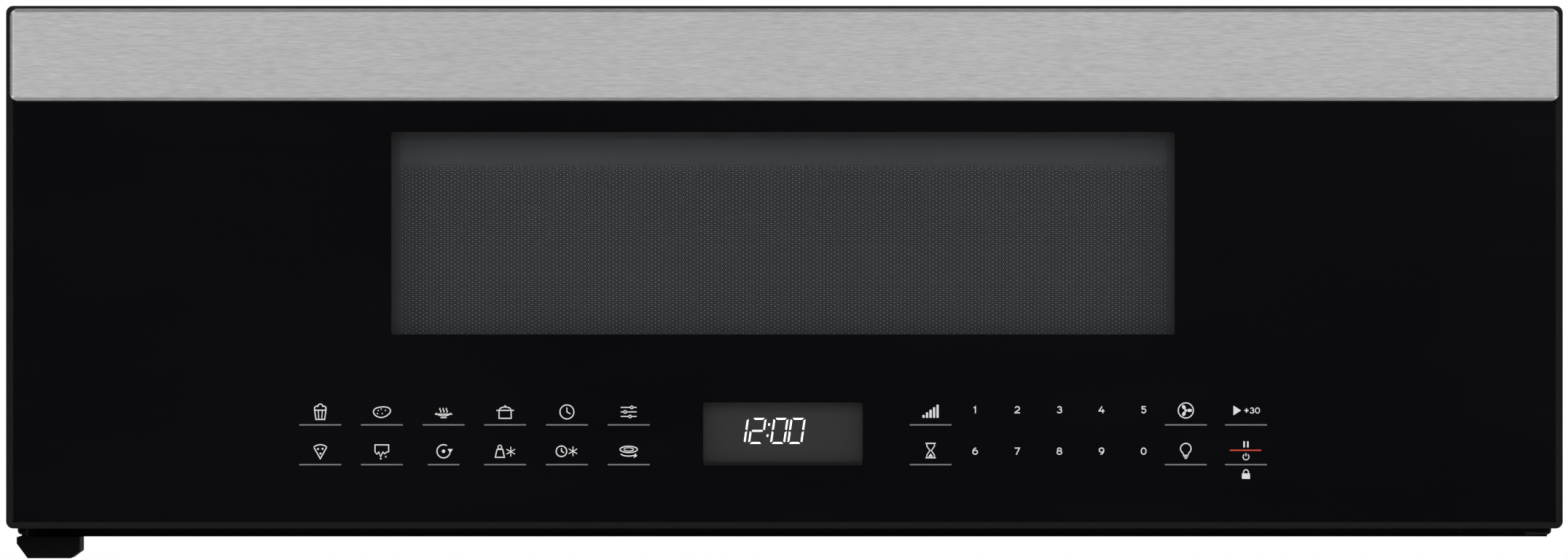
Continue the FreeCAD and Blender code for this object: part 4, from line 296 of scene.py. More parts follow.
def cavity_enamel():
    """Grey enamel with dark and pale flecks."""
    graph = Finish("speckled enamel")
    grain = graph.use(GRAIN, Scale=220.0, Depth=0.00002)
    dark = graph.use(FLECKS, Scale=420.0, Size=0.26)["Mask"]
    pale = graph.use(FLECKS, Scale=570.0, Size=0.22)["Mask"]
    skin = graph.blend(dark, (0.44, 0.45, 0.46), (0.16, 0.17, 0.18))
    skin = graph.blend(pale, skin, (0.74, 0.75, 0.75))
    shine = graph.spread(grain["Tone"], 0.3, 0.7, 0.22, 0.34)
    return graph.done(Coat_Weight=0.35, Base_Color=skin, Roughness=shine, Normal=grain["Normal"])


def dark_glass():
    """Polished glass with black printed behind it, and a trace of wiping."""
    graph = Finish("black backed glass")
    place = graph.place()
    cloud = graph.noise(place, 3.0, 5.0)
    streak = graph.add("Mapping", {"Vector": place, "Scale": (4.0, 4.0, 30.0)}).outputs[0]
    wipe = graph.noise(streak, 2.0, 4.0)
    tone = graph.spread(cloud, 0.35, 0.65, 0.0, 1.0)
    skin = graph.blend(tone, (0.0022, 0.0021, 0.0027), (0.0030, 0.0029, 0.0035))
    shine = graph.spread(wipe, 0.4, 0.7, 0.035, 0.075)
    return graph.done(Specular_IOR_Level=0.4, Base_Color=skin, Roughness=shine)


def clear_glass(name, tint, rough):
    """Glass to look through: the tray and the door's inner sheet."""
    graph = Finish(name)
    ripple = graph.noise(graph.place(), 26.0, 2.0)
    shine = graph.spread(ripple, 0.3, 0.7, rough, rough * 2.5)
    return graph.done(
        Base_Color=colour(tint), Transmission_Weight=1.0, IOR=1.47, Roughness=shine,
        Normal=graph.bump(ripple, 0.08, 0.0004),
    )


def smoked_pane(name, tint, share):
    """A thin tinted sheet that dims what is behind it and keeps its own gloss."""
    graph = Finish(name)
    cloud = graph.noise(graph.place(), 4.0, 4.0)
    darker = tuple(part * 0.8 for part in tint)
    skin = graph.blend(graph.spread(cloud, 0.35, 0.65, 0.0, 1.0), darker, tint)
    cover = graph.spread(cloud, 0.3, 0.7, share, share + 0.02)
    return graph.done(Roughness=0.04, Specular_IOR_Level=0.4, Base_Color=skin, Alpha=cover)


def pierced_paint():
    """The screen seen from inside the oven: a close triangular field of holes."""
    graph = Finish("pierced screen paint")
    place = graph.add("SeparateXYZ", {0: graph.place()}).outputs
    across = graph.math("DIVIDE", place["X"], COLUMN_PITCH * MM)
    column = graph.math("ROUND", across)
    odd = graph.math("ABSOLUTE", graph.math("MODULO", column, 2.0))
    up = graph.math("DIVIDE", place["Z"], HOLE_PITCH * MM)
    up = graph.math("ADD", up, graph.times(odd, 0.5))
    row = graph.math("ROUND", up)
    from_row = graph.times(graph.math("SUBTRACT", up, row), HOLE_PITCH)
    from_column = graph.times(graph.math("SUBTRACT", across, column), COLUMN_PITCH)
    squares = graph.math("ADD", graph.times(from_row, from_row),
                         graph.times(from_column, from_column))
    away = graph.math("SQRT", squares)
    hole = graph.spread(away, HOLE_RADIUS + 0.05, HOLE_RADIUS - 0.05, 0.0, 1.0)
    skin = graph.blend(hole, (0.030, 0.032, 0.036), (0.085, 0.092, 0.10))
    grain = graph.use(GRAIN, Scale=1500.0, Depth=0.000004)
    return graph.done(Roughness=0.45, Base_Color=skin, Normal=grain["Normal"])


def laminated_iron():
    """Varnished iron sheets stacked on edge, with the copper tone of the coils' lacquer."""
    graph = Finish("laminated iron")
    sheets = graph.add(
        "TexWave", {"Vector": graph.place(), "Scale": 320.0, "Distortion": 0.3},
        bands_direction="Y",
    ).outputs["Fac"]
    grain = graph.use(GRAIN, Scale=300.0, Depth=0.00001)
    skin = graph.blend(sheets, (0.10, 0.075, 0.06), (0.26, 0.20, 0.16))
    lift = graph.bump(graph.times(sheets, 0.0001), Normal=grain["Normal"])
    shine = graph.spread(grain["Tone"], 0.3, 0.7, 0.38, 0.6)
    return graph.done(Metallic=0.4, Base_Color=skin, Roughness=shine, Normal=lift)


def circuit_board():
    """Green lacquer over copper runs."""
    graph = Finish("lacquered board")
    runs = graph.add("TexBrick", {
        "Vector": graph.place(), "Scale": 140.0, "Mortar Size": 0.03,
        "Color1": colour((0.02, 0.13, 0.05)), "Color2": colour((0.03, 0.17, 0.07)),
        "Mortar": colour((0.07, 0.28, 0.12)),
    }, offset=0.37, squash=1.6)
    pads = graph.use(FLECKS, Scale=170.0, Size=0.24)["Mask"]
    skin = graph.blend(pads, runs.outputs["Color"], (0.55, 0.55, 0.52))
    grain = graph.use(GRAIN, Scale=700.0, Depth=0.000006)
    shine = graph.spread(grain["Tone"], 0.3, 0.7, 0.3, 0.45)
    return graph.done(Coat_Weight=0.3, Base_Color=skin, Roughness=shine, Normal=grain["Normal"])


def light_lens():
    """Frosted cover of a lamp below the oven."""
    graph = Finish("frosted lens")
    frost = graph.add("TexVoronoi", {"Vector": graph.place(), "Scale": 420.0}).outputs["Distance"]
    lift = graph.bump(frost, 0.5, 0.0003)
    tone = graph.spread(frost, 0.0, 0.6, 0.0, 1.0)
    skin = graph.blend(tone, (0.80, 0.80, 0.77), (0.66, 0.67, 0.65))
    shine = graph.spread(frost, 0.0, 0.6, 0.25, 0.45)
    return graph.done(
        Subsurface_Weight=0.25, Subsurface_Scale=0.001, Base_Color=skin, Roughness=shine,
        Normal=lift,
    )


def ink(name, light, dark, glow=0.0):
    """Printed marks: a dense ink with a soft mottle."""
    graph = Finish(name)
    grain = graph.use(GRAIN, Scale=1600.0, Depth=0.000001)
    tone = graph.spread(grain["Tone"], 0.35, 0.65, 0.0, 1.0)
    skin = graph.blend(tone, dark, light)
    shine = graph.spread(grain["Tone"], 0.3, 0.7, 0.4, 0.55)
    shining = {"Emission_Strength": glow, "Emission_Color": skin} if glow else {}
    return graph.done(Specular_IOR_Level=0.2, Base_Color=skin, Roughness=shine, **shining)


# The screen's holes, in millimetres.
HOLE_PITCH = 1.98
COLUMN_PITCH = 1.715
HOLE_RADIUS = 0.84
HOLE_FLOOR = 0.40

FINISHES = {
    "case_paint": grained(
        "satin powder coat", (0.0060, 0.0060, 0.0064), (0.0040, 0.0040, 0.0044), (0.45, 0.6),
        scale=1100.0, depth=0.00004, wear=0.04, wear_amount=0.3, dust=0.05, specular=0.2,
    ),
    "zinc_sheet": zinc_sheet(),
    "cavity_enamel": cavity_enamel(),
    "black_plastic": grained(
        "black moulded plastic", (0.0046, 0.0047, 0.0052), (0.0032, 0.0033, 0.0037), (0.42, 0.55),
        scale=1500.0, depth=0.00002, wear=(0.012, 0.012, 0.0125), wear_amount=0.3, dust=0.05,
        specular=0.12,
    ),
    "pale_plastic": grained(
        "pale moulded plastic", (0.66, 0.66, 0.62), (0.56, 0.56, 0.53), (0.38, 0.5), scale=800.0,
    ),
    "front_glass": dark_glass(),
    "clear_glass": clear_glass("clear glass", (0.90, 0.95, 0.93), 0.02),
    "band_steel": brushed_band(),
    "screen_paint": grained(
        "choke paint", (0.0180, 0.0198, 0.0215), (0.0155, 0.0172, 0.0190), (0.42, 0.52),
        scale=1300.0, wear=0.10, wear_amount=0.2, dust=0.0,
    ),
    "filter_aluminium": grained(
        "folded aluminium", (0.66, 0.67, 0.68), (0.52, 0.53, 0.54), (0.3, 0.46),
        scale=500.0, metal=1.0, dust=0.0,
    ),
    "charcoal": grained(
        "charcoal granules", 0.03, 0.012, (0.7, 0.95), scale=380.0, depth=0.0006,
    ),
    "circuit_board": circuit_board(),
    "display_window": grained(
        "smoked display", 0.040, 0.038, (0.5, 0.56),
        scale=400.0, depth=0.0, dust=0.0, specular=0.25,
    ),
    "mica": grained(
        "pressed mica", (0.62, 0.58, 0.47), (0.44, 0.40, 0.31), (0.3, 0.5), scale=160.0,
        depth=0.00002, dust=0.0,
    ),
    "core_iron": laminated_iron(),
    "can_aluminium": grained(
        "drawn aluminium", (0.64, 0.64, 0.65), (0.50, 0.50, 0.51), (0.28, 0.42), scale=300.0,
        depth=0.000008, metal=1.0,
    ),
    "white_acetal": grained(
        "white acetal", (0.76, 0.76, 0.73), (0.66, 0.66, 0.64), (0.32, 0.42),
        depth=0.000008, dust=0.05,
    ),
    "black_rubber": grained(
        "black rubber", 0.020, 0.012, (0.6, 0.8),
        depth=0.00003, dust=0.2, specular=0.3,
    ),
    "light_lens": light_lens(),
    "hinge_steel": grained(
        "black passivated steel", (0.0085, 0.0085, 0.009), (0.0055, 0.0055, 0.006), (0.4, 0.55),
        scale=420.0, wear=0.10, wear_amount=0.3, specular=0.25,
    ),
}
# Painted shade: the parts below the door get a paint far darker and less glossy than the case. It
# stands in for the shade that falls under the door.
UNDER_NODES = ("base_pan", "front_frame", "lower_hinge_cover", "lower_hinge_bracket")
SHADED_UNDER_PAINT = grained(
    "under paint darkened as painted shade", (0.0026, 0.0026, 0.0028), (0.0018, 0.0018, 0.0020), (0.6, 0.75),
    scale=1100.0, depth=0.00003, wear=0.012, wear_amount=0.2, dust=0.0,
    specular=0.03,
)
SCREEN_BACK = pierced_paint()
SCREEN_SHEET = grained(
    "screen sheet", (0.044, 0.0490, 0.0545), (0.0405, 0.0455, 0.0505), (0.45, 0.55), scale=1300.0,
    depth=0.000004, dust=0.0, specular=0.3,
)
# Painted shade: the walls of the screen's holes get a near-black colour that stands in for the
# shadow inside each hole.
SCREEN_WALL_SHADE = grained(
    "screen hole wall painted shade", (0.0045, 0.0052, 0.0058), (0.0035, 0.0042, 0.0048), (0.5, 0.6),
    scale=1500.0, depth=0.0, dust=0.0, specular=0.2,
)
SCREEN_FILM = grained(
    "screen film", (0.180, 0.190, 0.205), (0.160, 0.170, 0.185), (0.5, 0.6),
    depth=0.0, dust=0.0, specular=0.3,
)
WINDOW_PANE = smoked_pane("window glass", (0.006, 0.006, 0.007), 0.10)
DISPLAY_PANE = smoked_pane("display glass", (0.012, 0.012, 0.012), 0.16)
MARK_INK = ink("mark ink", (0.56, 0.56, 0.57), (0.50, 0.50, 0.51))
LINE_INK = ink("line ink", 0.145, 0.125)
STOP_INK = ink("stop ink", (0.60, 0.055, 0.035), (0.50, 0.045, 0.030))
DIGIT_GLOW = ink("digit glow", 1.0, 0.94, glow=1.15)

for row in frame["record"]["subparts"]:
    node = NODES[row["node"]]
    node.data.materials.clear()
    node.data.materials.append(FINISHES[row["material_slot"]])
NODES["window_screen"].data.materials[0] = SCREEN_BACK
# The parts below the door take the near-black paint that carries the painted shade.
for name in UNDER_NODES:
    NODES[name].data.materials[0] = SHADED_UNDER_PAINT


# Mesh tools -------------------------------------------------------------------------------------

FACES_FRONT = 0.9999  # a face that is this square to Y, or more, stays flat


def piece(name, mesh, body, finish, sharp=30.0):
    """Puts a finished mesh in the scene, riding on a body. Faces square to the front stay flat."""
    obj = bpy.data.objects.new(name, mesh)
    bpy.context.scene.collection.objects.link(obj)
    mesh.materials.clear()
    mesh.materials.append(finish)
    mesh.shade_smooth()
    mesh.set_sharp_from_angle(angle=math.radians(sharp))
    for face in mesh.polygons:
        if abs(face.normal.y) > FACES_FRONT:
            face.use_smooth = False
    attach(obj, body)
    return obj


def mesh_of(name, verts, faces):
    mesh = bpy.data.meshes.new(name)
    mesh.from_pydata([tuple(v) for v in verts], [], faces)
    mesh.validate()
    return mesh


def from_bmesh(name, work):
    bmesh.ops.recalc_face_normals(work, faces=work.faces[:])
    mesh = bpy.data.meshes.new(name)
    work.to_mesh(mesh)
    work.free()
    return mesh


def rounded_box(box, radius, steps=8):
    """The outline of a rectangle with rounded corners, as a function of how far it is drawn in."""
    left, right, low, high = box

    def outline(inset):
        turn = max(radius - inset, 0.02)
        points = []
        for corner, (cx, cz) in enumerate((
            (right - inset - turn, high - inset - turn), (left + inset + turn, high - inset - turn),
            (left + inset + turn, low + inset + turn), (right - inset - turn, low + inset + turn),
        )):
            for step in range(steps + 1):
                angle = math.pi / 2 * (corner + step / steps)
                points.append((cx + turn * math.cos(angle), cz + turn * math.sin(angle)))
        return points
    return outline


def bow(x, z, wide, tall, start, end, steps):
    """Points along part of an ellipse, from one angle in degrees to another."""
    turns = [math.radians(start + (end - start) * i / steps) for i in range(steps + 1)]
    return [(x + wide * math.cos(t), z + tall * math.sin(t)) for t in turns]


def oval(x, z, wide, tall, sides=28):
    return bow(x, z, wide, tall, 0, 360, sides)[:-1]


def quarter_round(radius, steps):
    """A rounded front edge: how far each ring is drawn in, and how far behind the face it is."""
    turns = [math.pi / 2 * step / steps for step in range(steps + 1)]
    return [(radius * (1 - math.cos(t)), radius * (1 - math.sin(t))) for t in turns]


def plate(name, outline, front, back, edge, holes=()):
    """A flat closed piece that faces -Y, with a shaped front edge and square-cut holes."""
    work = bmesh.new()

    def loop(points, along):
        ring = [work.verts.new(mm(x, along, z)) for x, z in points]
        for i, vert in enumerate(ring):
            work.edges.new((vert, ring[(i + 1) % len(ring)]))
        return ring

    def skin(first, second):
        for i in range(len(first)):
            j = (i + 1) % len(first)
            work.faces.new((first[i], first[j], second[j], second[i]))

    def fill(rings):
        edges = []
        for ring in rings:
            for i, vert in enumerate(ring):
                edges.append(work.edges.get((vert, ring[(i + 1) % len(ring)])))
        bmesh.ops.triangle_fill(work, edges=edges, use_beauty=True, use_dissolve=False)

    rings = [loop(outline(0.0), back)]
    rings += [loop(outline(inset), front + behind) for inset, behind in edge]
    for first, second in zip(rings, rings[1:]):
        skin(first, second)
    cuts = [(loop(hole(0.0), front), loop(hole(0.0), back)) for hole in holes]
    for near, far in cuts:
        skin(near, far)
    fill([rings[-1]] + [near for near, far in cuts])
    fill([rings[0]] + [far for near, far in cuts])
    return from_bmesh(name, work)


def turned(profile, centre, axis, sides=24):
    """Verts and faces of a profile of (radius, height) points turned about an axis."""
    verts, faces = [], []
    first, second = {"x": (1, 2), "y": (2, 0), "z": (0, 1)}[axis]
    third = "xyz".index(axis)
    for radius, height in profile:
        for side in range(sides):
            angle = math.tau * side / sides
            point = [0.0, 0.0, 0.0]
            point[first] = centre[first] + radius * math.cos(angle)
            point[second] = centre[second] + radius * math.sin(angle)
            point[third] = centre[third] + height
            verts.append(mm(*point))
    for ring in range(len(profile) - 1):
        for side in range(sides):
            after = (side + 1) % sides
            base, top = ring * sides, (ring + 1) * sides
            faces.append((base + side, base + after, top + after, top + side))
    faces.append(tuple(range(sides))[::-1])
    last = (len(profile) - 1) * sides
    faces.append(tuple(range(last, last + sides)))
    return verts, faces


def gathered(name, parts):
    """One mesh from several lists of verts and faces."""
    verts, faces = [], []
    for part_verts, part_faces in parts:
        start = len(verts)
        verts.extend(part_verts)
        faces.extend(tuple(start + i for i in face) for face in part_faces)
    mesh = mesh_of(name, verts, faces)
    work = bmesh.new()
    work.from_mesh(mesh)
    bmesh.ops.recalc_face_normals(work, faces=work.faces[:])
    work.to_mesh(mesh)
    work.free()
    return mesh


# The door's front -------------------------------------------------------------------------------

SQUARE = [(0.0, 0.0)]
BAND_EDGE = [
    (0.0, 1.75), (0.06, 1.5), (0.3, 1.18), (0.62, 0.86), (1.5, 0.2), (1.85, 0.04), (2.2, 0.0),
]
DISPLAY_GAP = 0.4
window_hole = rounded_box(WINDOW, 1.0, 4)
display_hole = rounded_box(DISPLAY, 1.0, 4)


def door_sheet(name, outline, front, back, finish, edge=SQUARE, holes=(), sharp=30.0):
    mesh = plate(name, outline, front, back, edge, holes)
    return piece(name, mesh, "door", finish, sharp)


glass = door_sheet(
    "glass_panel", rounded_box(GLASS, 2.0), GLASS_FACE, GLASS_BACK, FINISHES["front_glass"],
    quarter_round(0.12, 3), (window_hole, display_hole),
)
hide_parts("front_glass")
door_sheet("window_pane", window_hole, GLASS_FACE, GLASS_BACK, WINDOW_PANE)
door_sheet(
    "display_pane", display_hole, GLASS_FACE, GLASS_BACK - DISPLAY_GAP, DISPLAY_PANE,
)
# A flat dark strip laid on the glass face along the lower edge of the display window.
door_sheet(
    "display_dark_strip", rounded_box(DISPLAY_DARK_STRIP, 0.5, 3), INK_FACE, GLASS_FACE, FINISHES["black_plastic"],
)
band = door_sheet(
    "band_sheet", rounded_box(BAND, 3.9, 10), BAND_FACE, BAND_BACK, FINISHES["band_steel"],
    BAND_EDGE, sharp=50.0,
)
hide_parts("stainless_band")


# The window's screen ----------------------------------------------------------------------------

SCREEN_FACE = -407.0
SCREEN_REAR = -406.7
FIELD = (-189.0, 188.6, -31.5, 54.0)


def hole_field(first, last):
    """The pierced sheet between two columns: a six-sided cell round each dished hole. The top
    two rows are pierced in every other column only."""
    left, _, low, high = FIELD
    pierced, plain = [], []
    rows = int((high - low) / HOLE_PITCH)
    for column in range(first, last):
        x = left + COLUMN_PITCH * (column + 0.5)
        for row in range(rows):
            z = high - HOLE_PITCH * (row + (0.5 if column % 2 else 1.0))
            (plain if row < 2 and column % 2 else pierced).append((x, z))
    turns = np.arange(6) * math.pi / 3
    cell = np.stack([np.cos(turns), np.sin(turns)], axis=1)
    side = HOLE_PITCH / math.sqrt(3)

    def rings(centres, sizes):
        loops = []
        for radius, along in sizes:
            flat = np.array(centres)[:, None, :] + cell[None] * radius
            loop = np.empty((len(centres), 6, 3))
            loop[:, :, 0], loop[:, :, 1], loop[:, :, 2] = flat[:, :, 0], along, flat[:, :, 1]
            loops.append(loop)
        return np.concatenate(loops, axis=1).reshape(-1, 3) * MM

    sizes = ((side, SCREEN_FACE), (HOLE_RADIUS, SCREEN_FACE), (HOLE_FLOOR, SCREEN_REAR))
    verts = [rings(pierced, sizes)]
    faces = []
    for start in range(0, len(pierced) * 18, 18):  # three rings of six points each
        for i in range(6):
            j = (i + 1) % 6
            faces.append((start + i, start + j, start + 6 + j, start + 6 + i))
            faces.append((start + 6 + i, start + 6 + j, start + 12 + j, start + 12 + i))
    if plain:
        start = len(pierced) * 18
        verts.append(rings(plain, sizes[:1]))
        faces += [tuple(range(base, base + 6)) for base in
                  range(start, start + len(plain) * 6, 6)]
    return np.concatenate(verts), faces


columns = int((FIELD[1] - FIELD[0]) / COLUMN_PITCH)
for name, first, last in (
    ("screen_mesh_left", 0, columns // 2), ("screen_mesh_right", columns // 2, columns),
):
    obj = piece(name, mesh_of(name, *hole_field(first, last)), "door", SCREEN_SHEET)
    # The hole walls take the near-black painted shade, and the faces square to the front keep the
    # sheet's colour.
    obj.data.materials.append(SCREEN_WALL_SHADE)
    for face in obj.data.polygons:
        face.material_index = 0 if abs(face.normal.y) > FACES_FRONT else 1

door_sheet(
    "screen_film", rounded_box(SCREEN, 1.0, 3), SCREEN_REAR + 0.02, SCREEN_REAR + 0.4,
    SCREEN_FILM,
)
field_top = FIELD[3] - HOLE_PITCH / 2
door_sheet(
    "screen_border", rounded_box((SCREEN[0], SCREEN[1], field_top, SCREEN[3]), 0.3, 2),
    SCREEN_FACE - 0.02, SCREEN_REAR, SCREEN_SHEET,
)
door_sheet(
    "window_surround", rounded_box(SURROUND, 0.6, 3), SCREEN_FACE - 0.5, SCREEN_FACE - 0.03,
    FINISHES["screen_paint"], holes=(rounded_box(SURROUND_MOUTH, 1.2, 4),),
)


# Marks on the glass -----------------------------------------------------------------------------

class Marks:
    """Flat printed shapes, drawn in millimetres about a centre on the glass."""

    HAIR = 0.008

    def __init__(self, name, finish, along=INK_FACE, deep=0.05):
        self.name, self.finish, self.along, self.deep = name, finish, along, deep
        self.work = bmesh.new()
        self.across, self.up, self.size, self.lean = 0.0, 0.0, 1.0, 0.0
        self.lift = 0.0

    def at(self, across, up, size=1.0, lean=0.0):
        self.across, self.up, self.size, self.lean = across, up, size, lean
        return self

    def vert(self, x, z):
        x, z = x * self.size, z * self.size
        along = self.along - self.lift
        return self.work.verts.new(mm(self.across + x + z * self.lean, along, self.up + z))

    def step_up(self):
        """Strokes that cross lie a hair apart, so that both keep a face of their own."""
        self.lift = (self.lift + self.HAIR) % (self.HAIR * 4)

    def shape(self, points):
        self.step_up()
        self.work.faces.new([self.vert(x, z) for x, z in points])

    def dot(self, x, z, radius, sides=14):
        self.shape(oval(x, z, radius, radius, sides))

    def line(self, points, width=0.55, closed=False):
        """A stroke of even width with mitred corners."""
        self.step_up()
        path = [np.array(p, float) for p in points]
        count = len(path)
        sides = []
        for i, here in enumerate(path):
            before = path[i - 1] if closed or i else None
            after = path[(i + 1) % count] if closed or i < count - 1 else None
            ways = []
            if before is not None:
                ways.append((here - before) / np.linalg.norm(here - before))
            if after is not None:
                ways.append((after - here) / np.linalg.norm(after - here))
            normals = [np.array((-way[1], way[0])) for way in ways]
            middle = sum(normals) / len(normals)
            reach = width / 2 / max(float(middle @ middle), 0.2)
            offset = middle * reach
            sides.append((self.vert(*(here + offset)), self.vert(*(here - offset))))
        for i in range(count if closed else count - 1):
            first, second = sides[i], sides[(i + 1) % count]
            self.work.faces.new((first[0], first[1], second[1], second[0]))

    def arc(self, x, z, radius, start, end, width=0.55, sides=20, tall=1.0):
        self.line(bow(x, z, radius, radius * tall, start, end, sides), width)

    def ring(self, x, z, radius, width=0.55, sides=28, tall=1.0):
        self.line(oval(x, z, radius, radius * tall, sides), width, closed=True)

    def flake(self, x, z, reach, width=0.42):
        for turn in (90, 30, 150):
            way = np.array((math.cos(math.radians(turn)), math.sin(math.radians(turn))))
            centre = np.array((x, z))
            self.line([centre - way * reach, centre + way * reach], width)

    def done(self):
        faces = self.work.faces[:]
        made = bmesh.ops.extrude_face_region(self.work, geom=faces)
        moved = [part for part in made["geom"] if isinstance(part, bmesh.types.BMVert)]
        bmesh.ops.translate(self.work, verts=moved, vec=(0.0, mm(self.deep), 0.0))
        piece(self.name, from_bmesh(self.name, self.work), "door", self.finish)


# The 2152 by 768 frame: millimetres per pixel, the object's middle column, and its top row
# with the height that it stands for.
FRAME_SCALE = 0.3551
MIDDLE_COLUMN, FIRST_ROW = 1076.5, 8.0
OBJECT_TOP = 130.25


def glass_x(column):
    return (column - MIDDLE_COLUMN) * FRAME_SCALE


def glass_z(row):
    return OBJECT_TOP - (row - FIRST_ROW) * FRAME_SCALE


def popped_bag(m):
    m.line([(-2.3, -4.0), (2.3, -4.0), (3.0, 0.9), (-3.0, 0.9)], closed=True)
    m.line([(-0.8, -3.6), (-1.05, 0.6)], 0.45)
    m.line([(0.8, -3.6), (1.05, 0.6)], 0.45)
    m.arc(-1.9, 1.9, 1.15, 45, 225)
    m.arc(0.0, 2.9, 1.3, 10, 170)
    m.arc(1.9, 1.9, 1.15, -45, 135)


def potato(m):
    points = []
    for i in range(32):
        turn = math.tau * i / 32
        reach = 1.0 + 0.07 * math.sin(2 * turn + 0.6) + 0.05 * math.sin(3 * turn)
        points.append((4.3 * reach * math.cos(turn), 2.9 * reach * math.sin(turn)))
    m.line(points, closed=True)
    for x, z in ((-1.9, 0.7), (0.2, -0.9), (1.9, 0.8), (-0.4, 1.5), (-2.3, -0.9)):
        m.dot(x, z, 0.32)


def steam(m, x, low):
    m.line([(x + 0.35 * math.sin(i * 0.9), low + 0.34 * i) for i in range(8)], 0.5)


def warm_plate(m):
    m.arc(0.0, 0.2, 4.2, 200, 340, tall=0.55)
    m.line([(-4.6, -1.2), (4.6, -1.2)])
    m.line([(-1.6, -3.0), (1.6, -3.0)])
    for x in (-1.7, 0.0, 1.7):
        steam(m, x, -0.3)


def lidded_pot(m):
    m.line([(-3.2, 0.5), (-3.2, -3.4), (3.2, -3.4), (3.2, 0.5)])
    m.line([(-4.6, 0.8), (4.6, 0.8)])
    m.arc(0.0, 1.1, 3.0, 0, 180, tall=0.5)
    m.dot(0.0, 3.1, 0.45)


def clock(m, x=0.0, radius=3.7):
    m.ring(x, 0.0, radius)
    m.line([(x, radius * 0.62), (x, 0.0), (x + radius * 0.5, -radius * 0.28)], 0.5)


def sliders(m):
    for level, knob in ((2.4, 1.6), (0.0, -1.9), (-2.4, 0.7)):
        m.line([(-4.2, level), (knob - 0.85, level)], 0.5)
        m.line([(knob + 0.85, level), (4.2, level)], 0.5)
        m.ring(knob, level, 0.7, 0.45, 18)


def pie_slice(m):
    m.line([(-3.4, 2.1), (0.0, -3.9), (3.4, 2.1)])
    m.arc(0.0, -1.6, 5.1, 48, 132)
    for x, z in ((-1.2, 1.2), (1.2, 1.3), (0.1, -1.2)):
        m.dot(x, z, 0.5)


def melting(m):
    m.line([(-3.6, -0.4), (-3.6, 3.4), (3.6, 3.4), (3.6, -0.4)])
    m.line([(-3.6, -0.4), (-2.6, -1.5), (-1.6, -0.4), (-0.6, -2.9), (0.5, -0.4), (1.5, -1.3),
            (2.5, -0.4), (3.6, -0.4)], 0.5)
    m.dot(-0.6, -3.9, 0.45)
    m.dot(2.1, -2.9, 0.4)


def auto_turn(m):
    m.arc(0.0, 0.0, 3.5, 60, 350, sides=26)
    m.shape([(2.2, 1.2), (4.9, 1.2), (3.5, -0.9)])
    m.dot(0.0, 0.0, 0.9)


def weight_flake(m):
    m.line([(-5.2, -3.2), (-0.4, -3.2), (-1.3, 1.0), (-4.3, 1.0)], closed=True)
    m.ring(-2.8, 2.2, 1.0, 0.5, 18)
    m.flake(3.0, -0.2, 2.6)


def clock_flake(m):
    clock(m, -2.9, 2.8)
    m.flake(3.2, 0.0, 2.6)


def spinning_tray(m):
    m.ring(0.0, 1.0, 4.6, tall=0.36)
    m.ring(0.0, 1.0, 2.5, 0.4, tall=0.36)
    m.arc(0.0, -0.7, 4.6, 205, 320, tall=0.4)
    m.shape([(2.6, -3.6), (4.5, -2.4), (3.5, -1.0)])


def power_bars(m):
    for i in range(5):
        left = -4.3 + 1.85 * i
        m.shape([(left, -3.5), (left + 1.15, -3.5), (left + 1.15, -2.0 + 1.35 * i),
                 (left, -2.0 + 1.35 * i)])


def hourglass(m):
    m.line([(-2.7, 3.8), (2.7, 3.8)], 0.6)
    m.line([(-2.7, -3.8), (2.7, -3.8)], 0.6)
    m.line([(-2.0, 3.4), (-2.0, 2.3), (-0.35, 0.0), (-2.0, -2.3), (-2.0, -3.4)], 0.5)
    m.line([(2.0, 3.4), (2.0, 2.3), (0.35, 0.0), (2.0, -2.3), (2.0, -3.4)], 0.5)
    m.shape([(-1.3, -3.3), (1.3, -3.3), (0.0, -1.6)])


def vent_fan(m):
    m.ring(0.0, 0.0, 4.0)
    m.dot(0.0, 0.0, 0.7)
    for turn in (90, 210, 330):
        petal = []
        for i in range(13):
            t = i / 12
            angle = math.radians(turn + 62 * t)
            reach = 1.05 + 2.2 * math.sin(math.pi * t) ** 0.7
            petal.append((reach * math.cos(angle), reach * math.sin(angle)))
        m.shape(petal)


def bulb(m):
    m.arc(0.0, 1.0, 2.7, -58, 238, sides=26)
    m.line([(-1.45, -1.3), (-1.2, -2.4), (1.2, -2.4), (1.45, -1.3)], 0.5)
    m.line([(-1.1, -3.2), (1.1, -3.2)], 0.5)
    m.line([(-0.6, -3.95), (0.6, -3.95)], 0.5)


def start_sign(m):
    m.shape([(-4.9, -1.9), (-1.9, 0.0), (-4.9, 1.9)])
    m.line([(-0.6, 0.0), (1.0, 0.0)], 0.45)
    m.line([(0.2, 0.8), (0.2, 0.22)], 0.45)
    m.line([(0.2, -0.22), (0.2, -0.8)], 0.45)


def pause_sign(m):
    for left in (-1.3, 0.5):
        m.shape([(left, -1.5), (left + 0.8, -1.5), (left + 0.8, 1.5), (left, 1.5)])


def power_sign(m):
    m.arc(0.0, -0.1, 1.45, 125, 415, 0.42)
    m.line([(0.0, 0.2), (0.0, 1.75)], 0.42)


def padlock(m):
    m.shape([(-1.7, -1.8), (1.7, -1.8), (1.7, 0.5), (-1.7, 0.5)])
    m.line([(-1.05, 0.5), (-1.05, 1.0)], 0.42)
    m.line([(1.05, 0.5), (1.05, 1.0)], 0.42)
    m.arc(0.0, 1.0, 1.05, 0, 180, 0.42, 14)


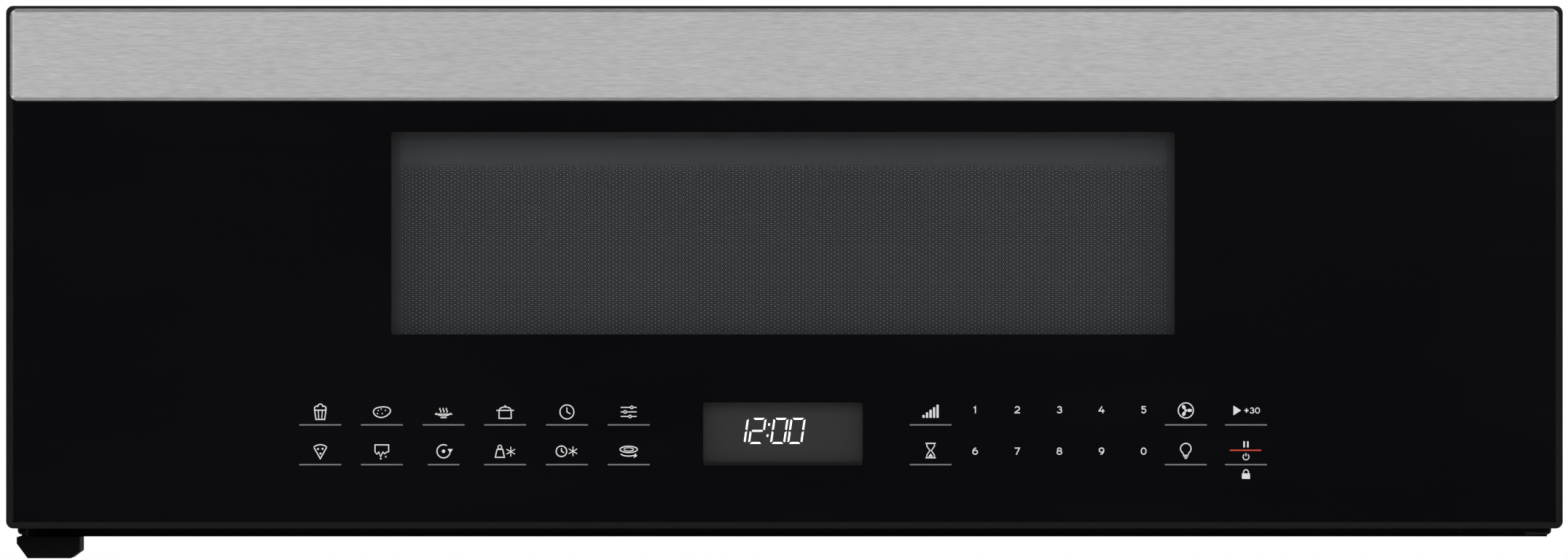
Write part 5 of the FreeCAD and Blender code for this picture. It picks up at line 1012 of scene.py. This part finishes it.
KEY_COLUMNS = (439.5, 524.0, 608.7, 693.2, 778.0, 862.8)
POWER_COLUMN, FAN_COLUMN, START_COLUMN = 1277.2, 1627.4, 1710.0
NUMBER_COLUMN, NUMBER_PITCH = 1338.3, 57.8
NUMBER_ROWS = (562.0, 618.8)
PAUSE_ROW, SWITCH_ROW, LOCK_ROW = 609.5, 626.4, 651.0
STOP_COLUMN, STOP_ROW = 1709.4, 617.6
TOP_ROW, LOW_ROW = 565.0, 619.0
TOP_LINE, LOW_LINE = 582.8, 637.3
signs = Marks("key_signs", MARK_INK)
for column, top_sign, low_sign in zip(
    KEY_COLUMNS,
    (popped_bag, potato, warm_plate, lidded_pot, clock, sliders),
    (pie_slice, melting, auto_turn, weight_flake, clock_flake, spinning_tray),
):
    top_sign(signs.at(glass_x(column), glass_z(TOP_ROW), 0.92))
    low_sign(signs.at(glass_x(column), glass_z(LOW_ROW), 0.92))
for column, row, size, sign in (
    (POWER_COLUMN, TOP_ROW - 1, 0.92, power_bars), (POWER_COLUMN, LOW_ROW - 1, 0.92, hourglass),
    (FAN_COLUMN, TOP_ROW - 2, 0.92, vent_fan), (FAN_COLUMN, LOW_ROW - 1, 0.95, bulb),
    (START_COLUMN, TOP_ROW - 2, 1.25, start_sign), (START_COLUMN, PAUSE_ROW, 1.0, pause_sign),
    (START_COLUMN, SWITCH_ROW, 1.0, power_sign), (START_COLUMN, LOCK_ROW, 1.15, padlock),
):
    sign(signs.at(glass_x(column), glass_z(row), size))
signs.done()

lines = Marks("key_lines", LINE_INK)
for column in KEY_COLUMNS + (POWER_COLUMN, FAN_COLUMN, START_COLUMN):
    for row in (TOP_LINE, LOW_LINE):
        half = 7.7 if (column, row) == (KEY_COLUMNS[2], LOW_LINE) else 10.2
        lines.at(glass_x(column), glass_z(row)).line([(-half, 0.0), (half, 0.0)], 0.62)
lines.done()
stop = Marks("stop_line", STOP_INK)
stop.at(glass_x(STOP_COLUMN), glass_z(STOP_ROW)).line([(-7.65, 0.0), (7.65, 0.0)])
stop.done()


# Numerals 3 mm tall between the middles of their strokes: open strokes, then closed ones.
NUMERALS = {
    "0": ([], [oval(0.0, 0.0, 1.18, 1.4986)]),
    "1": ([[(-0.72, 0.85), (0.14, 1.5), (0.14, -1.72)]], []),
    "2": ([bow(0.0, 0.56, 1.04, 0.94, 165, -40, 12)
           + [(-1.12, -1.36), (-1.12, -1.5), (1.28, -1.5)]], []),
    "3": ([bow(0.0, 0.74, 0.92, 0.76, 160, -85, 12), bow(0.0, -0.66, 1.1, 0.84, 88, -162, 14)], []),
    "4": ([[(0.28, 1.66), (-1.2, -0.62), (1.42, -0.62)], [(0.66, 0.3), (0.66, -1.72)]], []),
    "5": ([[(1.08, 1.5), (-0.78, 1.5)] + bow(0.0, -0.52, 1.06, 0.98, 128, -157, 16)], []),
    "6": ([bow(0.46, -0.5, 1.58, 2.0, 180, 88, 9)], [oval(0.0, -0.5, 1.12, 1.0)]),
    "7": ([[(-1.3, 1.5), (1.1, 1.5), (-0.5, -1.72)]], []),
    "8": ([], [oval(0.0, 0.78, 0.92, 0.7268), oval(0.0, -0.68, 1.14, 0.8322)]),
    "9": ([bow(-0.46, 0.5, -1.58, -2.0, 180, 88, 9)], [oval(0.0, 0.5, -1.12, -1.0)]),
}


def numeral(m, text):
    for strokes, closed in zip(NUMERALS[text], (False, True)):
        for points in strokes:
            m.line(points, 0.5, closed)


for index, text in enumerate("1234567890"):
    digit = Marks(f"digit_{text}", MARK_INK)
    column = NUMBER_COLUMN + NUMBER_PITCH * (index % 5)
    numeral(digit.at(glass_x(column), glass_z(NUMBER_ROWS[index // 5])), text)
    digit.done()
thirty = Marks("digit_30", MARK_INK)
for text, shift in (("3", 2.9), ("0", 5.6)):
    numeral(thirty.at(glass_x(START_COLUMN) + shift, glass_z(TOP_ROW - 2), 0.84), text)
thirty.done()

SEGMENTS = {"0": "abcdef", "1": "bc", "2": "abged"}
clock_face = Marks("display_digits", DIGIT_GLOW, GLASS_BACK - 0.12, 0.1)


def lit(segment, left, wide=6.37, tall=5.86, thick=0.9, gap=0.28):
    """One bar of a seven-bar numeral, with its pointed ends."""
    half = thick / 2
    flat = {"a": tall, "g": 0.0, "d": -tall}
    if segment in flat:
        z = flat[segment]
        start, end = left + gap + half * 0.3, left + wide - gap - half * 0.3
        points = [(start, z), (start + half, z + half), (end - half, z + half), (end, z),
                  (end - half, z - half), (start + half, z - half)]
        if segment != "g":
            outward = half if segment == "a" else -half
            points = [(start, z + outward), (end, z + outward), (end - thick, z - outward),
                      (start + thick, z - outward)]
    else:
        x = left if segment in "fe" else left + wide
        low = gap if segment in "fb" else -tall + gap
        high = low + tall - gap * 2
        outward = -half if segment in "fe" else half
        points = [(x + outward, low + half * 0.2), (x + outward, high + half * 0.2),
                  (x - outward, high - half), (x - outward, low + half)]
    clock_face.shape(points)


clock_face.at(0.0, -76.8, lean=0.144)
for text, left in (("1", -25.0), ("2", -16.4), ("0", -5.68), ("0", 2.68)):
    for segment in SEGMENTS[text]:
        lit(segment, left)
for up in (3.1, -2.3):
    clock_face.shape([(-8.35, up - 0.6), (-7.5, up - 0.6), (-7.5, up + 0.6), (-8.35, up + 0.6)])
clock_face.done()


# Grease filters ---------------------------------------------------------------------------------

def expanded_mesh(name, box, high):
    """Two layers of slit and stretched sheet: zigzag strands that leave long diamonds."""
    left, right, front, rear = box
    wide, tall, swing = 7.0, 3.6, 0.82
    half, thick, layer_pitch = 0.45, 0.35, 1.0
    parts = []
    rows = int((rear - front) / tall)
    steps = int((right - left) / (wide / 2))
    for layer in range(2):
        top = high - layer_pitch * layer
        bottom = top - thick
        for row in range(rows + 1):
            middle = front + tall * row
            verts, faces = [], []
            for step in range(steps + 1):
                x = left + wide / 2 * step
                along = middle + (tall / 2) * (1 if (step + row) % 2 else -1) * swing
                y = min(max(along, front), rear)
                for dy, z in ((-half, bottom), (half, bottom), (half, top), (-half, top)):
                    verts.append(mm(x, y + dy, z))
            for step in range(steps):
                base = step * 4
                for i in range(4):
                    j = (i + 1) % 4
                    faces.append((base + i, base + j, base + 4 + j, base + 4 + i))
            faces.append((0, 1, 2, 3))
            faces.append(tuple(len(verts) - 4 + i for i in (3, 2, 1, 0)))
            parts.append((verts, faces))
    return gathered(name, parts)


FILTER_RIM = 7.4
FILTER_PAD_TOP = 2.2
for name in ("left", "right"):
    low_corner, high_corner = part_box(f"grease_filter_{name}")
    left, front, base = (value / MM for value in low_corner)
    right, rear, _ = (value / MM for value in high_corner)
    pad = (left + FILTER_RIM, right - FILTER_RIM, front + FILTER_RIM, rear - FILTER_RIM)
    strands = expanded_mesh(f"filter_strands_{name}", pad, base + FILTER_PAD_TOP)
    piece(f"filter_strands_{name}", strands, f"filter_{name}", FINISHES["filter_aluminium"])


# Case screws ------------------------------------------------------------------------------------

def screw_head(centre, axis, way, reach=3.6):
    """A hexagon head on its washer, with the dished recess on top."""
    washer = [(reach * 1.28, 0.0), (reach * 1.28, 0.35 * way), (reach * 1.12, 0.55 * way),
              (reach * 0.8, 0.6 * way)]
    head = [(reach * 0.92, 0.3 * way), (reach * 0.92, 1.15 * way), (reach * 0.78, 1.4 * way),
            (reach * 0.5, 1.4 * way), (reach * 0.36, 1.15 * way)]
    return [turned(washer, centre, axis), turned(head, centre, axis, 6)]


CASE_SIDE, BACK_FACE, BACK_SCREWS = 375.0, -1.6, 348.0
heads = []
for side in (-1, 1):
    for along in (-351.0, -188.0, -26.0):
        for up in (-108.0, 108.0):
            heads += screw_head((CASE_SIDE * side, along, up), "x", side)
    for up in (-112.0, -20.0, 112.0):
        heads += screw_head((BACK_SCREWS * side, BACK_FACE, up), "y", 1)
piece("case_screws", gathered("case_screws", heads), "chassis", FINISHES["hinge_steel"])


# Softened edges on the CAD nodes that show -------------------------------------------------------

for name, width in {
    "door_frame": 0.35, "door_back_cover": 0.5, "outer_cabinet": 0.3, "lower_hinge_cover": 0.8,
    "base_pan": 0.3, "grease_filter_left": 0.5, "grease_filter_right": 0.5,
    "wall_mounting_plate": 0.3, "top_vent_grille": 0.25, "latch_slider": 0.4,
    "door_bumpers": 0.8, "power_cord_bushing": 0.4, "exhaust_collar": 0.2, "choke_cover": 0.3,
}.items():
    modifier = NODES[name].modifiers.new("soft edges", "BEVEL")
    modifier.width = mm(width)
    modifier.segments = 2
    modifier.limit_method = "ANGLE"
    modifier.angle_limit = math.radians(35.0)
    modifier.harden_normals = True
for node in NODES.values():
    node.data.shade_smooth()
    node.data.set_sharp_from_angle(angle=math.radians(32.0))


# Studio -----------------------------------------------------------------------------------------

def stage_plane(name, size, place, turn, finish):
    bpy.ops.mesh.primitive_plane_add(size=1.0, location=place, rotation=turn)
    plane = bpy.context.object
    plane.name = name
    plane.scale = (size[0], size[1], 1.0)
    plane.data.materials.append(finish)
    return plane


def floor_finish():
    """A pale floor that is clear from below, where the underside is looked at."""
    graph = Finish("pale floor")
    grain = graph.use(GRAIN, Scale=8.0, Depth=0.0001)
    skin = graph.blend(grain["Tone"], 0.86, 0.90)
    below = graph.add("NewGeometry").outputs["Backfacing"]
    return graph.done(Roughness=0.7, Base_Color=skin, Alpha=graph.math("SUBTRACT", 1.0, below))


def flag_finish(name, level):
    """A card that only mirrors see, at an even level of grey."""
    graph = Finish(name)
    grain = graph.use(GRAIN, Scale=3.0, Depth=0.0001)
    skin = graph.blend(grain["Tone"], level * 0.92, level * 1.08)
    return graph.done(
        Base_Color=colour(0.0), Specular_IOR_Level=0.0, Emission_Strength=1.0, Emission_Color=skin,
    )


stage_plane("floor", (14.0, 14.0), (0.0, 0.0, -0.9), (0.0, 0.0, 0.0), floor_finish())
for name, size, place, turn, level in (
    ("flag_front", (2.6, 1.2), (0.0, -9.6, 0.0), (math.pi / 2, 0.0, 0.0), 0.012),
    ("flag_left", (2.4, 2.8), (-2.6, 0.1, 0.0), (0.0, math.pi / 2, 0.0), 0.2),
    ("flag_right", (2.4, 2.8), (2.6, 0.1, 0.0), (0.0, math.pi / 2, 0.0), 0.2),
    ("flag_above", (2.6, 3.2), (0.0, -1.0, 1.5), (0.0, 0.0, 0.0), 0.36),
    ("flag_below", (2.6, 3.2), (0.0, -1.0, -0.85), (0.0, 0.0, 0.0), 0.48),
):
    flag = stage_plane(name, size, place, turn, flag_finish(name, level))
    flag.visible_camera = False
    flag.visible_diffuse = False
    flag.visible_transmission = False
    flag.visible_shadow = False


def lamp(name, place, target, size, power):
    light = bpy.data.lights.new(name, "AREA")
    light.shape = "RECTANGLE"
    light.size, light.size_y = size
    light.energy = power
    obj = bpy.data.objects.new(name, light)
    bpy.context.scene.collection.objects.link(obj)
    obj.location = place
    obj.rotation_euler = (Vector(target) - Vector(place)).to_track_quat("-Z", "Y").to_euler()
    obj.visible_glossy = False


lamp("key", (0.0, -3.2, 2.9), (0.0, -0.3, 0.0), (3.2, 1.6), 95.0)
lamp("side_left", (-3.0, -1.6, 0.5), (0.0, -0.3, 0.0), (1.4, 2.0), 38.0)
lamp("side_right", (3.0, -1.6, 0.5), (0.0, -0.3, 0.0), (1.4, 2.0), 38.0)
lamp("rear", (0.0, 3.2, 1.6), (0.0, 0.0, 0.0), (2.6, 1.4), 50.0)

world = bpy.data.worlds.new("white room")
bpy.context.scene.world = world
world.use_nodes = True
sky = Graph(world.node_tree)
path = sky.add("LightPath").outputs
seen = sky.math("MAXIMUM", path["Is Camera Ray"],
                sky.math("MAXIMUM", path["Is Glossy Ray"], path["Is Transmission Ray"]))
backdrop = world.node_tree.nodes["Background"]
world.node_tree.links.new(sky.spread(seen, 0.0, 1.0, 0.55, 1.0), backdrop.inputs["Strength"])
backdrop.inputs["Color"].default_value = colour(1.0)

scene = bpy.context.scene
scene.view_settings.view_transform = "Standard"

FRAME_WIDTH = 0.7642
FACE_DISTANCE = 12.0  # far off, for a view nearly free of perspective
SENSOR = 36.0
camera_data = bpy.data.cameras.new("camera")
camera_data.sensor_width = SENSOR
camera_data.lens = SENSOR * FACE_DISTANCE / FRAME_WIDTH
camera_data.clip_end = 1000.0
camera = bpy.data.objects.new("camera", camera_data)
scene.collection.objects.link(camera)
camera.location = (-0.0002, -FACE_DISTANCE + mm(GLASS_FACE), -0.0033)
camera.rotation_euler = (math.pi / 2, 0.0, 0.0)
scene.camera = camera
